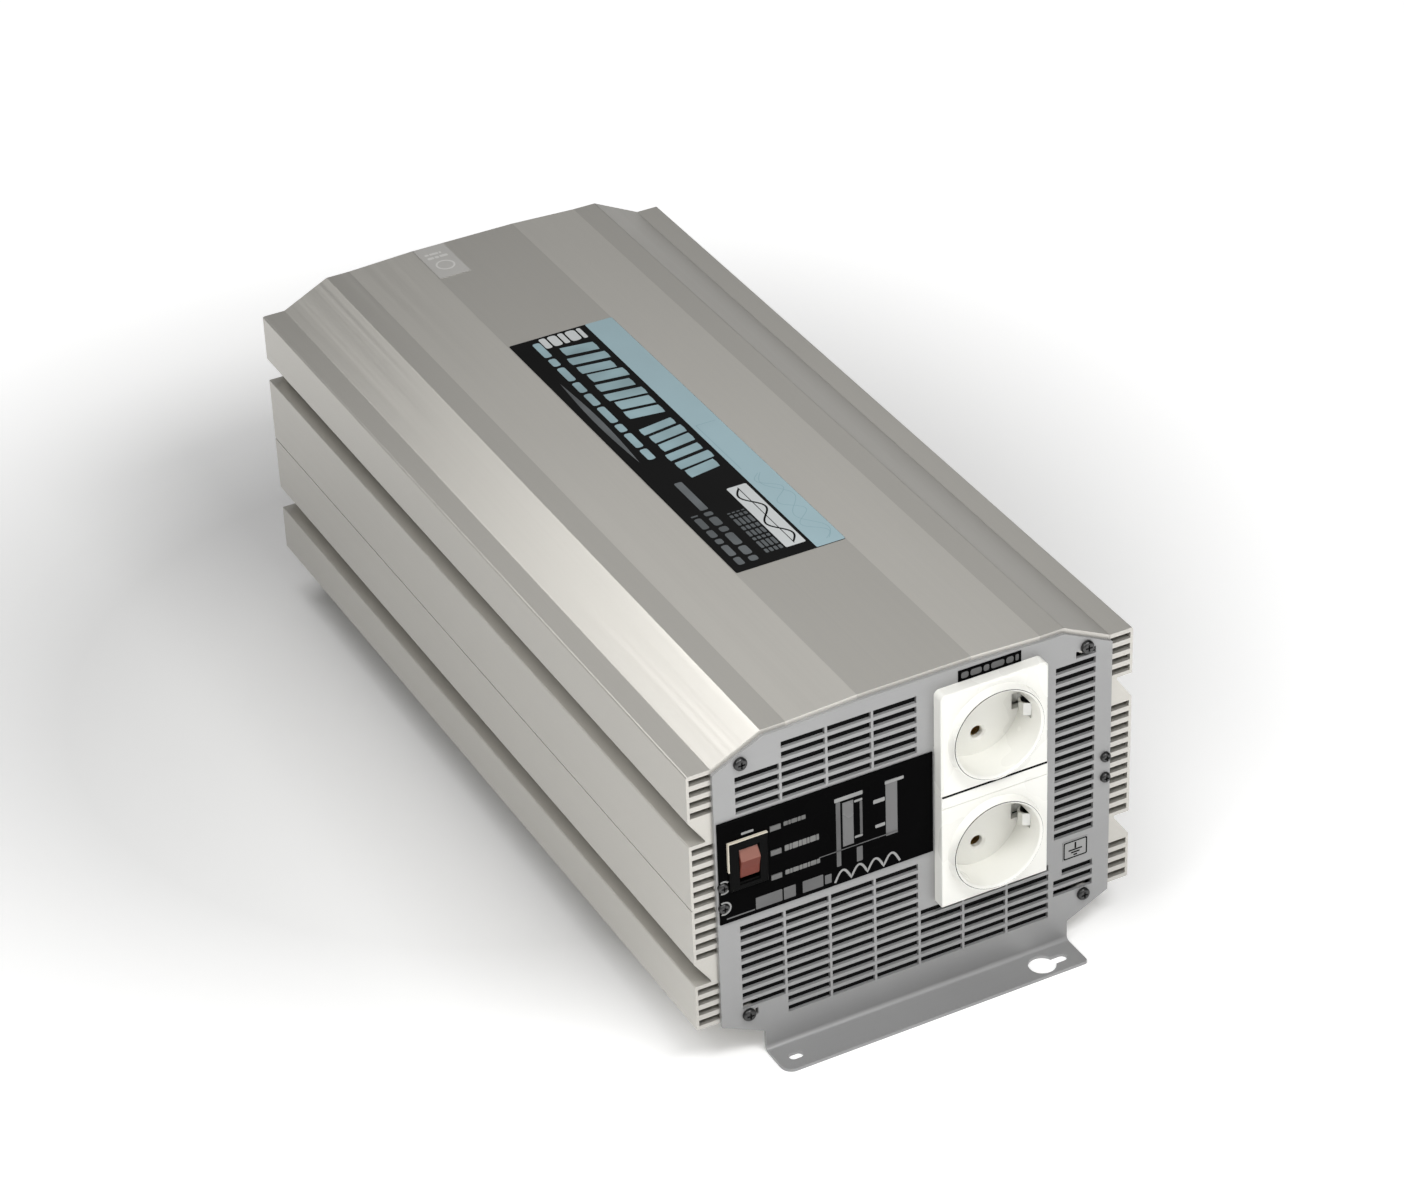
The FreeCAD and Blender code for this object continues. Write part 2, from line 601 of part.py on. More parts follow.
def earth_strap():
    """Spring strap: a bar behind the well and one bowed contact arm on each side."""
    back = outlet_back()
    floor_y = back - WELL_FLOOR
    out = 21.4
    bow = [(out, floor_y - 1.0), (18.3, floor_y - 2.9), (17.3, floor_y - 4.9), (18.3, floor_y - 6.9),
           (out, floor_y - 8.7)]
    inner = [(x - CLIP_T, y) for x, y in bow[::-1]]
    arm = [(0, back + CLIP_T), (out, back + CLIP_T)] + bow + inner + [(out - CLIP_T, back), (0, back)]
    right = prism_z(arm, -CLIP_W / 2, CLIP_W / 2)
    return right.fuse(turned(right, 180)).removeSplitter()


def outlet_back():
    return WELL_DEPTH - OUTLET_PROUD - COLLAR_RISE + WELL_FLOOR


def outlet_base():
    """Rear cover of the outlet with two chambers for the line contacts."""
    back = outlet_back()
    block = box(-19, 19, back + CLIP_T, back + 20, -18, 18)
    chambers = [cyl_y(0, side * PIN_SPACING / 2, 4.6, back, back + 17) for side in (-1, 1)]
    wires = [cyl_y(0, side * PIN_SPACING / 2, 1.6, back, back + 21) for side in (-1, 1)]
    return block.cut(chambers + wires)


def line_contacts():
    """Two slotted brass sleeves."""
    back = outlet_back() + CLIP_T
    sleeves = []
    for side in (-1, 1):
        z = side * PIN_SPACING / 2
        sleeve = cyl_y(0, z, 4.2, back, back + 15.5).cut(cyl_y(0, z, 2.5, back - 1, back + 12))
        sleeves.append(sleeve.cut(box(-5, 5, back - 1, back + 9, z - 0.4, z + 0.4)))
    return sleeves


def outlet_z(place):
    """Axis of the upper (0) or the lower (1) outlet."""
    return OUTLET_TOP_Z - OUTLET_H / 2 - place * OUTLET_PITCH


def in_outlet(shape, place):
    return moved(shape, OUTLET_X, FRONT_Y, outlet_z(place))


def make_outlets():
    strips = (0, OUTLET_PITCH - OUTLET_H - OUTLET_GAP)
    for place, name in enumerate(("upper", "lower")):
        save("outlet_" + name + "_housing", in_outlet(outlet_housing(strips[place]), place))
        save("outlet_" + name + "_base", in_outlet(outlet_base(), place))
    save("outlet_earth_straps", *[in_outlet(earth_strap(), place) for place in (0, 1)])
    save("outlet_line_contacts", *[in_outlet(sleeve, place) for place in (0, 1) for sleeve in line_contacts()])


# ---------------------------------------------------------------- labels
def make_labels():
    """Thin stickers that lie on the case and on the front plate."""
    thick = 0.3
    roof = AXIS_Z + TOP_RISE
    label = box(-FLAT_X + 0.5, FLAT_X, FRONT_Y + 102.5, FRONT_Y + 318.5, roof, roof + thick)
    save("top_label", label)
    save("seal_sticker", box(-25.5, -10, REAR_Y - PLATE_T - 31, REAR_Y - PLATE_T - 0.3, roof, roof + 0.15))
    z0 = OUTLET_TOP_Z + 0.2
    save("outlet_label", box(19.2, 48.4, FRONT_Y - thick, FRONT_Y, z0, z0 + 5.2))
    save("earth_symbol_plate", box(69.3, 81.4, FRONT_Y - thick, FRONT_Y, 43.2, 52.6))


# ---------------------------------------------------------------- fans
def fan_frame(x):
    """Square fan frame with four struts that hold the bearing tube."""
    half = FAN_SIZE / 2
    y1 = REAR_Y - PLATE_T
    y0 = y1 - FAN_T
    frame = box(x - half, x + half, y0, y1, FAN_Z - half, FAN_Z + half)
    frame = frame.makeFillet(4.0, edges_along(frame, V(0, 1, 0), lambda c: True))
    waist = box(x - half - 1, x + half + 1, y0 + 4, y1 - 4, FAN_Z - half - 1, FAN_Z + half + 1)
    waist = waist.cut(cyl_y(x, FAN_Z, FAN_BORE_R + 1.6, y0, y1))
    frame = frame.cut([waist, cyl_y(x, FAN_Z, FAN_BORE_R, y0 - 1, y1 + 1)])
    hub = cyl_y(x, FAN_Z, FAN_HUB_R, y0, y0 + 3)
    struts = [turned(box(x - 1.5, x + 1.5, y0, y0 + 3, FAN_Z + 8, FAN_Z + FAN_BORE_R + 1), 90 * k + 20,
                     V(0, 1, 0), V(x, 0, FAN_Z)) for k in range(4)]
    tube = cyl_y(x, FAN_Z, 4.0, y0, y0 + 16)
    frame = frame.fuse([hub, tube] + struts)
    bore = cyl_y(x, FAN_Z, FAN_SHAFT_R + RUN_CLEAR, y0 + 3, y0 + 17)
    holes = [cyl_y(x + dx, FAN_Z + dz, 2.0, y0 - 1, y1 + 1)
             for dx in (-FAN_HOLE, FAN_HOLE) for dz in (-FAN_HOLE, FAN_HOLE)]
    return frame.cut([bore] + holes)


def fan_blade():
    """Twisted blade from the hub out, about a fan axis on the origin."""
    sections = []
    for radius, pitch, chord in ((FAN_HUB_R - 0.6, 50, 15.0), (22.0, 38, 17.5), (FAN_BORE_R - 1.2, 28, 19.0)):
        tilt = math.radians(pitch)
        along = V(math.cos(tilt), math.sin(tilt), 0) * (chord / 2)
        across = V(-math.sin(tilt), math.cos(tilt), 0) * 0.7
        centre = V(0, 0, radius)
        sections.append(polygon([centre + along + across, centre - along + across,
                                 centre - along - across, centre + along - across]))
    return Part.makeLoft(sections, True, False)


def fan_rotor(x):
    """Cup hub, shaft and blades."""
    y1 = REAR_Y - PLATE_T - 2.0
    y0 = y1 - 19.0
    middle = (y0 + y1) / 2
    cup = cyl_y(0, 0, FAN_HUB_R, y0, y1)
    rim = [edge for edge in cup.Edges if edge.CenterOfMass.y > y1 - 0.1]
    cup = cup.makeFillet(1.5, rim[:1]).cut(cyl_y(0, 0, FAN_HUB_R - 1.8, y0 - 1, y1 - 2))
    blade = moved(fan_blade(), y=middle)
    blades = [turned(blade, 360.0 * k / FAN_BLADES) for k in range(FAN_BLADES)]
    swept = cyl_y(0, 0, FAN_BORE_R - 1.0, y0, y1).cut(cyl_y(0, 0, FAN_HUB_R - 1.0, y0 - 1, y1 + 1))
    shaft = cyl_y(0, 0, FAN_SHAFT_R, y0 - 0.5, y1 - 1)
    rotor = cup.fuse([blade.common(swept) for blade in blades] + [shaft])
    return moved(rotor, x=x, z=FAN_Z)


def fan_guard(x):
    """Wire finger guard on the outside of the rear plate."""
    wire = 0.9
    stand_off = REAR_Y + 3.0
    rings = [Part.makeTorus(r, wire, V(x, stand_off, FAN_Z), V(0, 1, 0)) for r in (7.0, 14.0, 21.0, 28.0, 34.0)]
    guard = rings[0].fuse(rings[1:])
    spokes = []
    eye_x = x + FAN_HOLE * math.sqrt(2)
    post_x = eye_x - 4.3
    for k in range(4):
        spoke = Part.makeCylinder(wire, post_x - x - 6.2, V(x + 6.2, stand_off - 1.0, FAN_Z), V(1, 0, 0))
        eye = cyl_y(eye_x, FAN_Z, 4.6, REAR_Y, REAR_Y + 1.2)
        post = cyl_y(post_x, FAN_Z, wire, REAR_Y + 0.5, stand_off - 1.0 + wire)
        hole = cyl_y(eye_x, FAN_Z, 2.1, REAR_Y - 1, REAR_Y + 4)
        arm = spoke.fuse([eye, post]).cut(hole)
        spokes.append(turned(arm, 90 * k + 45, V(0, 1, 0), V(x, 0, FAN_Z)))
    return guard.fuse(spokes)


def fan_screws(x):
    screws = []
    for dx in (-FAN_HOLE, FAN_HOLE):
        for dz in (-FAN_HOLE, FAN_HOLE):
            head = cyl_y(x + dx, FAN_Z + dz, 3.4, REAR_Y + 1.25, REAR_Y + 3.4)
            shank = cyl_y(x + dx, FAN_Z + dz, 1.8, REAR_Y - PLATE_T - FAN_T - 3, REAR_Y + 1.5)
            slot_cut = box(x + dx - 2.4, x + dx + 2.4, REAR_Y + 2.4, REAR_Y + 4, FAN_Z + dz - 0.4, FAN_Z + dz + 0.4)
            screws.append(head.fuse(shank).cut(slot_cut))
    return screws


def fan_nuts(x):
    y1 = REAR_Y - PLATE_T - FAN_T
    nuts = []
    for dx in (-FAN_HOLE, FAN_HOLE):
        for dz in (-FAN_HOLE, FAN_HOLE):
            nut = hexagon_y(x + dx, FAN_Z + dz, 7.0, y1 - 3.0, y1)
            nuts.append(nut.cut(cyl_y(x + dx, FAN_Z + dz, 1.9, y1 - 4, y1 + 1)))
    return nuts


def make_fans():
    for name, x in (("left", -FAN_X), ("right", FAN_X)):
        save("fan_" + name + "_frame", fan_frame(x))
        save("fan_" + name + "_rotor", fan_rotor(x))
        save("fan_" + name + "_guard", fan_guard(x))
    save("fan_screws", *(fan_screws(-FAN_X) + fan_screws(FAN_X)))
    save("fan_nuts", *(fan_nuts(-FAN_X) + fan_nuts(FAN_X)))


# ---------------------------------------------------------------- rear connections
def terminal_bush(x):
    """Moulded insulator: flange and boss outside, collar through the plate, washer inside."""
    inner = REAR_Y - PLATE_T
    flange = box(x - 14, x + 14, REAR_Y, REAR_Y + 4, STUD_Z - 14, STUD_Z + 14)
    flange = flange.makeFillet(5.0, edges_along(flange, V(0, 1, 0), lambda c: True))
    rim = [edge for edge in flange.Edges if edge.BoundBox.YMin > REAR_Y + 3.9]
    flange = flange.makeChamfer(0.8, rim)
    boss = cyl_y(x, STUD_Z, 11.0, REAR_Y, REAR_Y + BUSH_PROUD)
    collar = cyl_y(x, STUD_Z, BUSH_R, inner, REAR_Y + 1)
    bore = cyl_y(x, STUD_Z, STUD_R + 0.1, inner - 5, REAR_Y + BUSH_PROUD + 1)
    washer = cyl_y(x, STUD_Z, 12.0, inner - 4, inner)
    return [flange.fuse([boss, collar]).cut(bore), washer.cut(bore)]


def terminal_stud(x):
    """M8 stud with a hexagon head inside the case."""
    head_y = REAR_Y - PLATE_T - 7
    head = hexagon_y(x, STUD_Z, 13.0, head_y - 5, head_y)
    shank = cyl_y(x, STUD_Z, STUD_R, head_y - 1, REAR_Y + REAR_REACH)
    tip = [edge for edge in shank.Edges if edge.CenterOfMass.y > REAR_Y + REAR_REACH - 0.1]
    return head.fuse(shank.makeChamfer(0.9, tip[:1]))


def ring_y(x, z, outer, inner, y0, y1):
    return cyl_y(x, z, outer, y0, y1).cut(cyl_y(x, z, inner, y0 - 1, y1 + 1))


def hex_nut(x, z, across, bore_r, y0, y1):
    """Nut with its outer corners turned off."""
    nut = hexagon_y(x, z, across, y0, y1)
    cone = Part.makeCone(across / 2 + (y1 - y0) * 1.7, across / 2, y1 - y0, V(x, y0, z), V(0, 1, 0))
    return nut.common(cone).cut(cyl_y(x, z, bore_r, y0 - 1, y1 + 1))


def make_terminals():
    y = REAR_Y + BUSH_PROUD
    studs, washers, nuts = [], [], []
    for name, side in (("positive", -1), ("negative", 1)):
        x = side * STUD_X
        save(name + "_terminal_bush", *terminal_bush(x))
        studs.append(terminal_stud(x))
        washers.append(ring_y(x, STUD_Z, 8.5, STUD_R + 0.2, y, y + 1.6))
        washers.append(ring_y(x, STUD_Z, 6.6, STUD_R + 0.2, y + 1.6, y + 3.6))
        nuts.append(hex_nut(x, STUD_Z, 13.0, STUD_R + 0.05, y + 3.6, y + 10.1))
    nuts.append(hex_nut(EARTH_X, EARTH_Z, 8.0, EARTH_R + 0.05, REAR_Y + 1.0, REAR_Y + 5.0))
    washers.append(ring_y(EARTH_X, EARTH_Z, 5.0, EARTH_R + 0.1, REAR_Y, REAR_Y + 1.0))
    save("terminal_studs", *studs)
    save("terminal_washers", *washers)
    save("terminal_nuts", *nuts)
    head = cyl_y(EARTH_X, EARTH_Z, 4.5, REAR_Y - PLATE_T - 2, REAR_Y - PLATE_T)
    save("chassis_earth_stud", head.fuse(cyl_y(EARTH_X, EARTH_Z, EARTH_R, REAR_Y - PLATE_T - 1, REAR_Y + 14)))


def make_remote_port():
    """Modular jack for a remote switch."""
    jack = box(-PORT_HALF, PORT_HALF, REAR_Y - 16, REAR_Y + 0.6, STUD_Z - PORT_HALF, STUD_Z + PORT_HALF)
    mouth = box(-4.9, 4.9, REAR_Y - 12, REAR_Y + 1, STUD_Z - 3.4, STUD_Z + 3.4)
    latch = box(-2.2, 2.2, REAR_Y - 9, REAR_Y + 1, STUD_Z - 5.4, STUD_Z)
    save("remote_port", jack.cut([mouth, latch]))


def make_bus_bars():
    """Copper straps from the studs down to the main board."""
    y1 = REAR_Y - PLATE_T - 4
    top = BOARD_Z + BOARD_T
    bars = []
    for x in (-STUD_X, STUD_X):
        upright = box(x - 10, x + 10, y1 - 3, y1, top, STUD_Z + 11)
        foot = box(x - 10, x + 10, y1 - 34, y1, top, top + 3)
        bars.append(upright.fuse(foot).removeSplitter().cut(cyl_y(x, STUD_Z, STUD_R + 0.1, y1 - 4, y1 + 1)))
    save("bus_bars", *bars)


# ---------------------------------------------------------------- electronics
def post_points():
    return [(side * POST_X, FRONT_Y + v) for side in (-1, 1) for v in (30, 150, 270, 395)]


def make_main_board():
    board = box(-BOARD_HALF_W, BOARD_HALF_W, FRONT_Y + 14, REAR_Y - 5, BOARD_Z, BOARD_Z + BOARD_T)
    save("main_board", board.cut([cyl_z(x, y, 1.7, BOARD_Z - 1, BOARD_Z + 3) for x, y in post_points()]))
    posts = [cyl_z(x, y, 3.5, FLOOR_Z, BOARD_Z).cut(cyl_z(x, y, 1.55, FLOOR_Z + 3, BOARD_Z + 1))
             for x, y in post_points()]
    save("board_standoffs", *posts)
    top = BOARD_Z + BOARD_T
    screws = [cyl_z(x, y, 2.8, top, top + 2).fuse(cyl_z(x, y, 1.45, top - 8, top + 1)) for x, y in post_points()]
    save("board_screws", *screws)
    sheet = box(-68, 68, FRONT_Y + 14, REAR_Y - 5, FLOOR_Z + 0.1, FLOOR_Z + 0.6)
    save("insulation_sheet", sheet.cut([cyl_z(x, y, 3.8, FLOOR_Z - 1, FLOOR_Z + 2) for x, y in post_points()]))


def make_transformers():
    """Four push-pull transformers in a row, core and winding."""
    z = BOARD_Z + BOARD_T
    cores, windings = [], []
    for k in range(4):
        x = -10.0
        y = FRONT_Y + 170 + 46 * k
        core = box(x - 26, x + 26, y - 10, y + 10, z, z + 52)
        windows = [box(x + a, x + b, y - 11, y + 11, z + 9, z + 43) for a, b in ((-17, -7), (7, 17))]
        cores.append(core.cut(windows))
        coil = box(x - 16.5, x + 16.5, y - 19, y + 19, z + 10, z + 42)
        coil = coil.makeFillet(7.0, edges_along(coil, V(0, 0, 1), lambda c: True))
        windings.append(coil.cut(box(x - 7.3, x + 7.3, y - 10.3, y + 10.3, z, z + 50)))
    save("transformer_cores", *cores)
    save("transformer_windings", *windings)


def make_capacitors():
    z = BOARD_Z + BOARD_T
    bulk = [(x, FRONT_Y + v) for x in (-56, -18) for v in (70, 110)]
    cans = [cyl_z(x, y, 17.0, z, z + 50) for x, y in bulk]
    cans = [can.makeFillet(1.5, [e for e in can.Edges if e.CenterOfMass.z > z + 49.9][:1]) for can in cans]
    save("bulk_capacitors", *cans)
    inputs = [cyl_z(-52 + 17.5 * k, FRONT_Y + 338, 8.0, z, z + 36) for k in range(7)]
    save("input_capacitors", *inputs)


def make_transistors():
    """Power transistors clamped to the inner faces of both side walls."""
    z = BOARD_Z + BOARD_T
    wall = WALL_X - WALL_T
    packages, strips, clamps = [], [], []
    for side, count in ((-1, 10), (1, 8)):
        y0 = FRONT_Y + 140
        y1 = y0 + 20.0 * count
        x = sorted((side * (wall - 0.7), side * (wall - 5.7)))
        legs = sorted((side * (wall - 3.4), side * (wall - 4.0)))
        for k in range(count):
            y = y0 + 20.0 * k + 2
            package = box(x[0], x[1], y, y + 16, 42, 63)
            pins = [box(legs[0], legs[1], y + a, y + a + 1.2, z, 43) for a in (2, 7.4, 12.8)]
            packages.append(package.fuse(pins))
        strip = sorted((side * (wall - 0.1), side * (wall - 0.6)))
        clamp = sorted((side * (wall - 5.8), side * (wall - 8.3)))
        strips.append(box(strip[0], strip[1], y0, y1, 40, 65))
        clamps.append(box(clamp[0], clamp[1], y0, y1, 49, 57))
    save("power_transistors", *packages)
    save("thermal_strips", *strips)
    save("transistor_clamps", *clamps)


def make_control_board():
    z = BOARD_Z + BOARD_T
    save("control_board", box(40, 41.6, FRONT_Y + 160, FRONT_Y + 290, z, z + 62))
    chips = [box(41.6, 44.4, FRONT_Y + v, FRONT_Y + v + 14, z + h, z + h + 9)
             for v in (172, 206, 240) for h in (14, 36)]
    save("control_chips", *chips)


def make_choke_and_fuses():
    z = BOARD_Z + BOARD_T
    choke = Part.makeTorus(17.0, 8.5, V(48, FRONT_Y + 112, z + 26), V(1, 0, 0))
    foot = box(36, 60, FRONT_Y + 92, FRONT_Y + 132, z, z + 5)
    save("output_choke", choke.fuse(foot))
    fuses = [box(-58 + 12.5 * k, -53 + 12.5 * k, REAR_Y - 74, REAR_Y - 55, z, z + 21) for k in range(8)]
    save("dc_fuses", *fuses)


# ---------------------------------------------------------------- mains wiring
def bent_wire(points, bend, radius):
    """Round wire through the points, each corner turned on an arc of radius bend."""
    edges = []
    start = points[0]
    for before, corner, after in zip(points, points[1:], points[2:]):
        into = (corner - before).normalize()
        out = (after - corner).normalize()
        first = corner - into * bend
        last = corner + out * bend
        middle = corner - into * bend + out * bend
        mid_arc = middle + (corner - middle).normalize() * bend
        edges += [Part.LineSegment(start, first).toShape(), Part.Arc(first, mid_arc, last).toShape()]
        start = last
    edges.append(Part.LineSegment(start, points[-1]).toShape())
    path = Part.Wire(edges)
    axis = (points[1] - points[0]).normalize()
    profile = Part.Wire([Part.makeCircle(radius, points[0], axis)])
    return path.makePipeShell([profile], True, False)


def make_wiring():
    """Two wires from each outlet, back and down to the terminal block on the main board."""
    z = BOARD_Z + BOARD_T
    block = box(OUTLET_X - 6, OUTLET_X + 6, FRONT_Y + 43, FRONT_Y + 68, z, z + 15)
    start = FRONT_Y + outlet_back() + 17
    runs = [(place, side) for place in (0, 1) for side in (1, -1)]
    wires = []
    for k, (place, side) in enumerate(runs):
        high = outlet_z(place) + side * PIN_SPACING / 2
        y = FRONT_Y + 64 - 5.2 * k
        block = block.cut(cyl_z(OUTLET_X, y, 1.7, z + 6, z + 16))
        corners = [V(OUTLET_X, start, high), V(OUTLET_X, y, high), V(OUTLET_X, y, z + 7)]
        wires.append(bent_wire(corners, 7.0, 1.5))
    save("ac_terminal_block", block)
    save("ac_output_wires", *wires)


if __name__ == "__main__":
    os.makedirs("parts", exist_ok=True)
    make_case()
    make_front_plate()
    make_rear_plate()
    make_plate_screws()
    make_fascia()
    make_display_board()
    make_rocker_housing()
    make_power_rocker()
    make_outlets()
    make_labels()
    make_fans()
    make_terminals()
    make_remote_port()
    make_bus_bars()
    make_main_board()
    make_transformers()
    make_capacitors()
    make_transistors()
    make_control_board()
    make_choke_and_fuses()
    make_wiring()
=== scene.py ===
"""Looks of the power inverter: camera, light, materials and the fine detail on the CAD frame."""
import json
import math

import bmesh
import bpy
from mathutils import Matrix, Vector


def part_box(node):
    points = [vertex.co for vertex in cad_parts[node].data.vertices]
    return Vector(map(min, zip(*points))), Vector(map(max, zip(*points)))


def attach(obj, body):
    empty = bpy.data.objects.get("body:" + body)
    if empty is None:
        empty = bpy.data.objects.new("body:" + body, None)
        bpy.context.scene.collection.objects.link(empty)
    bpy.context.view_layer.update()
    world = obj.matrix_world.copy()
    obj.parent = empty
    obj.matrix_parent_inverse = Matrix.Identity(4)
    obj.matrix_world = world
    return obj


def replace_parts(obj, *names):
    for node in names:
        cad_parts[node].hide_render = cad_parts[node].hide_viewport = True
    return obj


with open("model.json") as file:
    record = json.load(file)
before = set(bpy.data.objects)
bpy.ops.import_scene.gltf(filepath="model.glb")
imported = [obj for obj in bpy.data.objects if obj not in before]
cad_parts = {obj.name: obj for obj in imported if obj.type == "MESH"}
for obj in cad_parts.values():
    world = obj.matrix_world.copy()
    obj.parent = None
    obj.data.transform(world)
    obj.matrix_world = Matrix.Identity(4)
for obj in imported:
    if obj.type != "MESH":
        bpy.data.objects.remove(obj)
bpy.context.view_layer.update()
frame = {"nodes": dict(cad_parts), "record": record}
NODES = frame["nodes"]
MM = 0.001
ROCKER_JOINT = frame["record"]["behaviour"]["joints"][0]

# fine detail that is not in the frame, in millimetres and degrees

# control panel: bars are (left, right, bottom, top) from the panel's lower left corner
LIGHT_NAMES = ((29.4, 39.6, 38.6, 40.6), (29.6, 45.1, 26.1, 28.9), (29.6, 45.5, 14.4, 16.6))
NAME_BARS = (1.9, 1.1, 2.6, 1.4)
SWITCH_BAR = (10.4, 15.9, 41.2, 42.3)
METER_BRACKETS = ((52.4, 65.3, 41.0, 42.9), (61.4, 65.1, 38.1, 39.2), (61.4, 65.1, 20.4, 21.5),
                  (75.5, 84.2, 41.7, 43.2), (70.1, 75.4, 34.0, 35.9), (70.9, 75.4, 21.8, 23.4))
GREY_BLOCKS = ((15.9, 27.9, 2.2, 8.0), (28.6, 34.0, 2.2, 8.0), (37.2, 46.6, 2.2, 8.0),
               (47.4, 50.4, 2.6, 7.0), (53.0, 55.0, 9.2, 40.8), (63.9, 65.1, 21.7, 37.9),
               (62.2, 64.9, 8.4, 15.6))
LONG_RULE, SHORT_RULE = (45.0, 81.2, 16.7, 17.1), (2.6, 15.4, 2.2, 2.8)
HUMP_LEFT, HUMP_RIGHT, HUMP_BASE, HUMP_H = 52.0, 82.0, 1.6, 5.2

# power switch
ROCKER_SECTION = ((3.2, 4.4), (-0.4, 8.3), (-2.4, 8.0), (-5.75, 4.4), (-5.4, 0.0),
                  (-5.75, -4.4), (-2.4, -8.0), (-0.4, -8.3), (3.2, -4.4))    # inwards, up
ROCKER_W = 8.7
ROCKER_TILT = 11.0              # at rest
ROCKER_SPLIT = 3.2              # the painted highlight on the upper facet starts here
ROCKER_EASE = 0.94              # size of the rocker's side faces against its section
ROCKER_CORNER, ROCKER_SIDE = 0.45, 0.35             # soft edges of the section and of the sides
ROCKER_PIN_R, ROCKER_PIN_REACH = 1.45, 6.7
HIGHLIGHT_T = 0.5                    # painted highlight strip over and left of the bezel, where its edges catch the light
HIGHLIGHT_STEP = 0.6                 # the bezel stands this far past it
HIGHLIGHT_DROP = 0.42                # the painted highlight reaches down to this share of the bezel's height
SIDE_SCREW_A, SIDE_SCREW_BS = 1.7, (8.1, 18.4)      # side screws, from the corner of the panel
NOTCH_RIM = (2.55, 3.3)         # radii
NOTCH_END = 115                 # a rim reaches this far each way from its rightmost point
NOTCH_PASS = 42                 # and leaves out this much where it meets the bezel

# outlets and front plate
OUTLET_H = 49.5                 # front of one outlet, without the filler strip of the lower one
STRIP_H = 5.58                  # that filler strip
COLLAR_RISE = 3.6               # round collar of an outlet
RIM_SHADOW_R, RIM_SHADOW_W, RIM_SHADOW_SHIFT = 20.7, 0.22, 0.16          # painted shadow: dark line round a collar, wider at its upper left where the rim shades the well
GAP_T = 0.03                    # height of the finest raised lines
EARTH_BARS = ((3.3, 4.4), (2.1, 3.1), (0.9, 1.8))   # half length and height of each bar
FILTER_T = 0.6                  # dust filter behind the slots; sheets as (left, right, bottom, top)
FILTER_SHEETS = ((-62.0, 4.0, 122.5, 152.0), (-84.0, -62.2, 122.5, 142.5), (-74.0, 1.0, 15.5, 70.0),
                 (-84.5, -74.2, 28.0, 70.0), (1.2, 64.0, 15.5, 44.8), (64.2, 85.5, 27.5, 143.0))

# roof label and seal
FILM_T, PRINT_T, LINE_T = 0.2, 0.05, 0.01           # film, its print, and fine lines on the print
BAR_LEFT, BAR_RIGHT = 18.0, 34.4                    # ends of the leaning bars
LEAF_MIDDLE, LEAF_HALF, LEAF_START, LEAF_STEP = 5.2, 1.6, 97.5, 3.85
LEAF_STEPS = 20

# rear end
STUD_R, STUD_PITCH = 4.0, 1.25
STUD_HEAD, STUD_HEAD_T = 13.0, 5.0
EARTH_STUD_R, EARTH_STUD_PITCH = 2.5, 0.8
EARTH_HEAD_R, EARTH_HEAD_T, EARTH_HEAD_EDGE = 4.5, 2.0, (0.6, 0.5)
THREAD_ROWS = 6                 # rows of points in one turn of a thread
THREAD_DEPTH = 0.6              # share of the pitch
MARK_UP = 4.5                   # polarity marks, over the terminal flanges
CONTACTS, CONTACT_PITCH, CONTACT_T = 6, 1.27, 0.3
CONTACT_LINE = ((-11.9, -2.9), (-8.0, -2.4), (-4.0, -1.2), (-2.6, -1.4))    # outwards, up

# fans
HUB_R, HUB_WALL, SHAFT_R, BLADE_TIP_R = 14.0, 1.8, 1.5, 31.9
BLADES, BLADE_STEPS, CHORD_STEPS = 7, 8, 8
BLADE_PITCH, BLADE_UNTWIST = 50, 22                 # at the root, and how much less at the tip
BLADE_CHORD, BLADE_WIDEN = 14.5, 4.5                # at the root, and how much more at the tip
BLADE_SWEEP, BLADE_CAMBER, BLADE_HALF_T = 0.35, 1.4, 0.7


# ---------------------------------------------------------------- camera, floor and light
CAMERA_PLACE = (-0.69286, -1.42381, 1.11795)
CAMERA_FORWARD = (0.37213, 0.74741, -0.55035)
CAMERA_UP = (0.28274, 0.47347, 0.83419)
LIGHTS = [      # name, place, target, size in metres, watts
    ("near_left_high", (-0.45, -0.35, 0.55), (-0.08, -0.1, 0.12), (0.3, 0.3), 1.5),
    ("near_front_high", (-0.3, -0.6, 0.6), (-0.05, -0.15, 0.12), (0.3, 0.3), 0.6),
    ("back_left_high", (-0.35, 0.9, 1.3), (0, 0, 0.1), (0.6, 0.5), 4.4),
    ("back_left_steep", (-0.2, 0.35, 1.3), (0, -0.1, 0.1), (0.5, 0.5), 2.4),
    ("back_right_high", (0.9, 1.5, 1.3), (0, 0, 0.1), (0.8, 0.5), 1.0),
    ("back_right_low", (1.6, 1.8, 0.3), (0, 0, 0.1), (0.9, 0.4), 0.5),
    ("front_steep", (0.1, -0.75, 1.0), (0, -0.22, 0.08), (0.5, 0.3), 6.5),
    ("front", (0.4, -1.6, 0.5), (0, -0.2, 0.08), (1.0, 0.6), 2.5),
]
WORLD_STRENGTH = 0.03
GLOW_CENTRE = (-0.05, 0.08, 0.0)
GLOW_START, GLOW_END, FLOOR_GLOW = 0.2, 0.5, 0.7     # the floor glows more away from the object
FLOOR_HALF = 12.0


def make_camera():
    """Long lens, from the front left and above."""
    camera = bpy.data.objects.new("camera", bpy.data.cameras.new("camera"))
    bpy.context.scene.collection.objects.link(camera)
    camera.data.lens = 109.52
    camera.data.sensor_width = 36.0
    camera.data.clip_end = 50.0
    forward = Vector(CAMERA_FORWARD).normalized()
    right = forward.cross(Vector(CAMERA_UP)).normalized()
    turn = Matrix((right, right.cross(forward), -forward)).transposed()
    camera.matrix_world = Matrix.Translation(CAMERA_PLACE) @ turn.to_4x4()
    bpy.context.scene.camera = camera


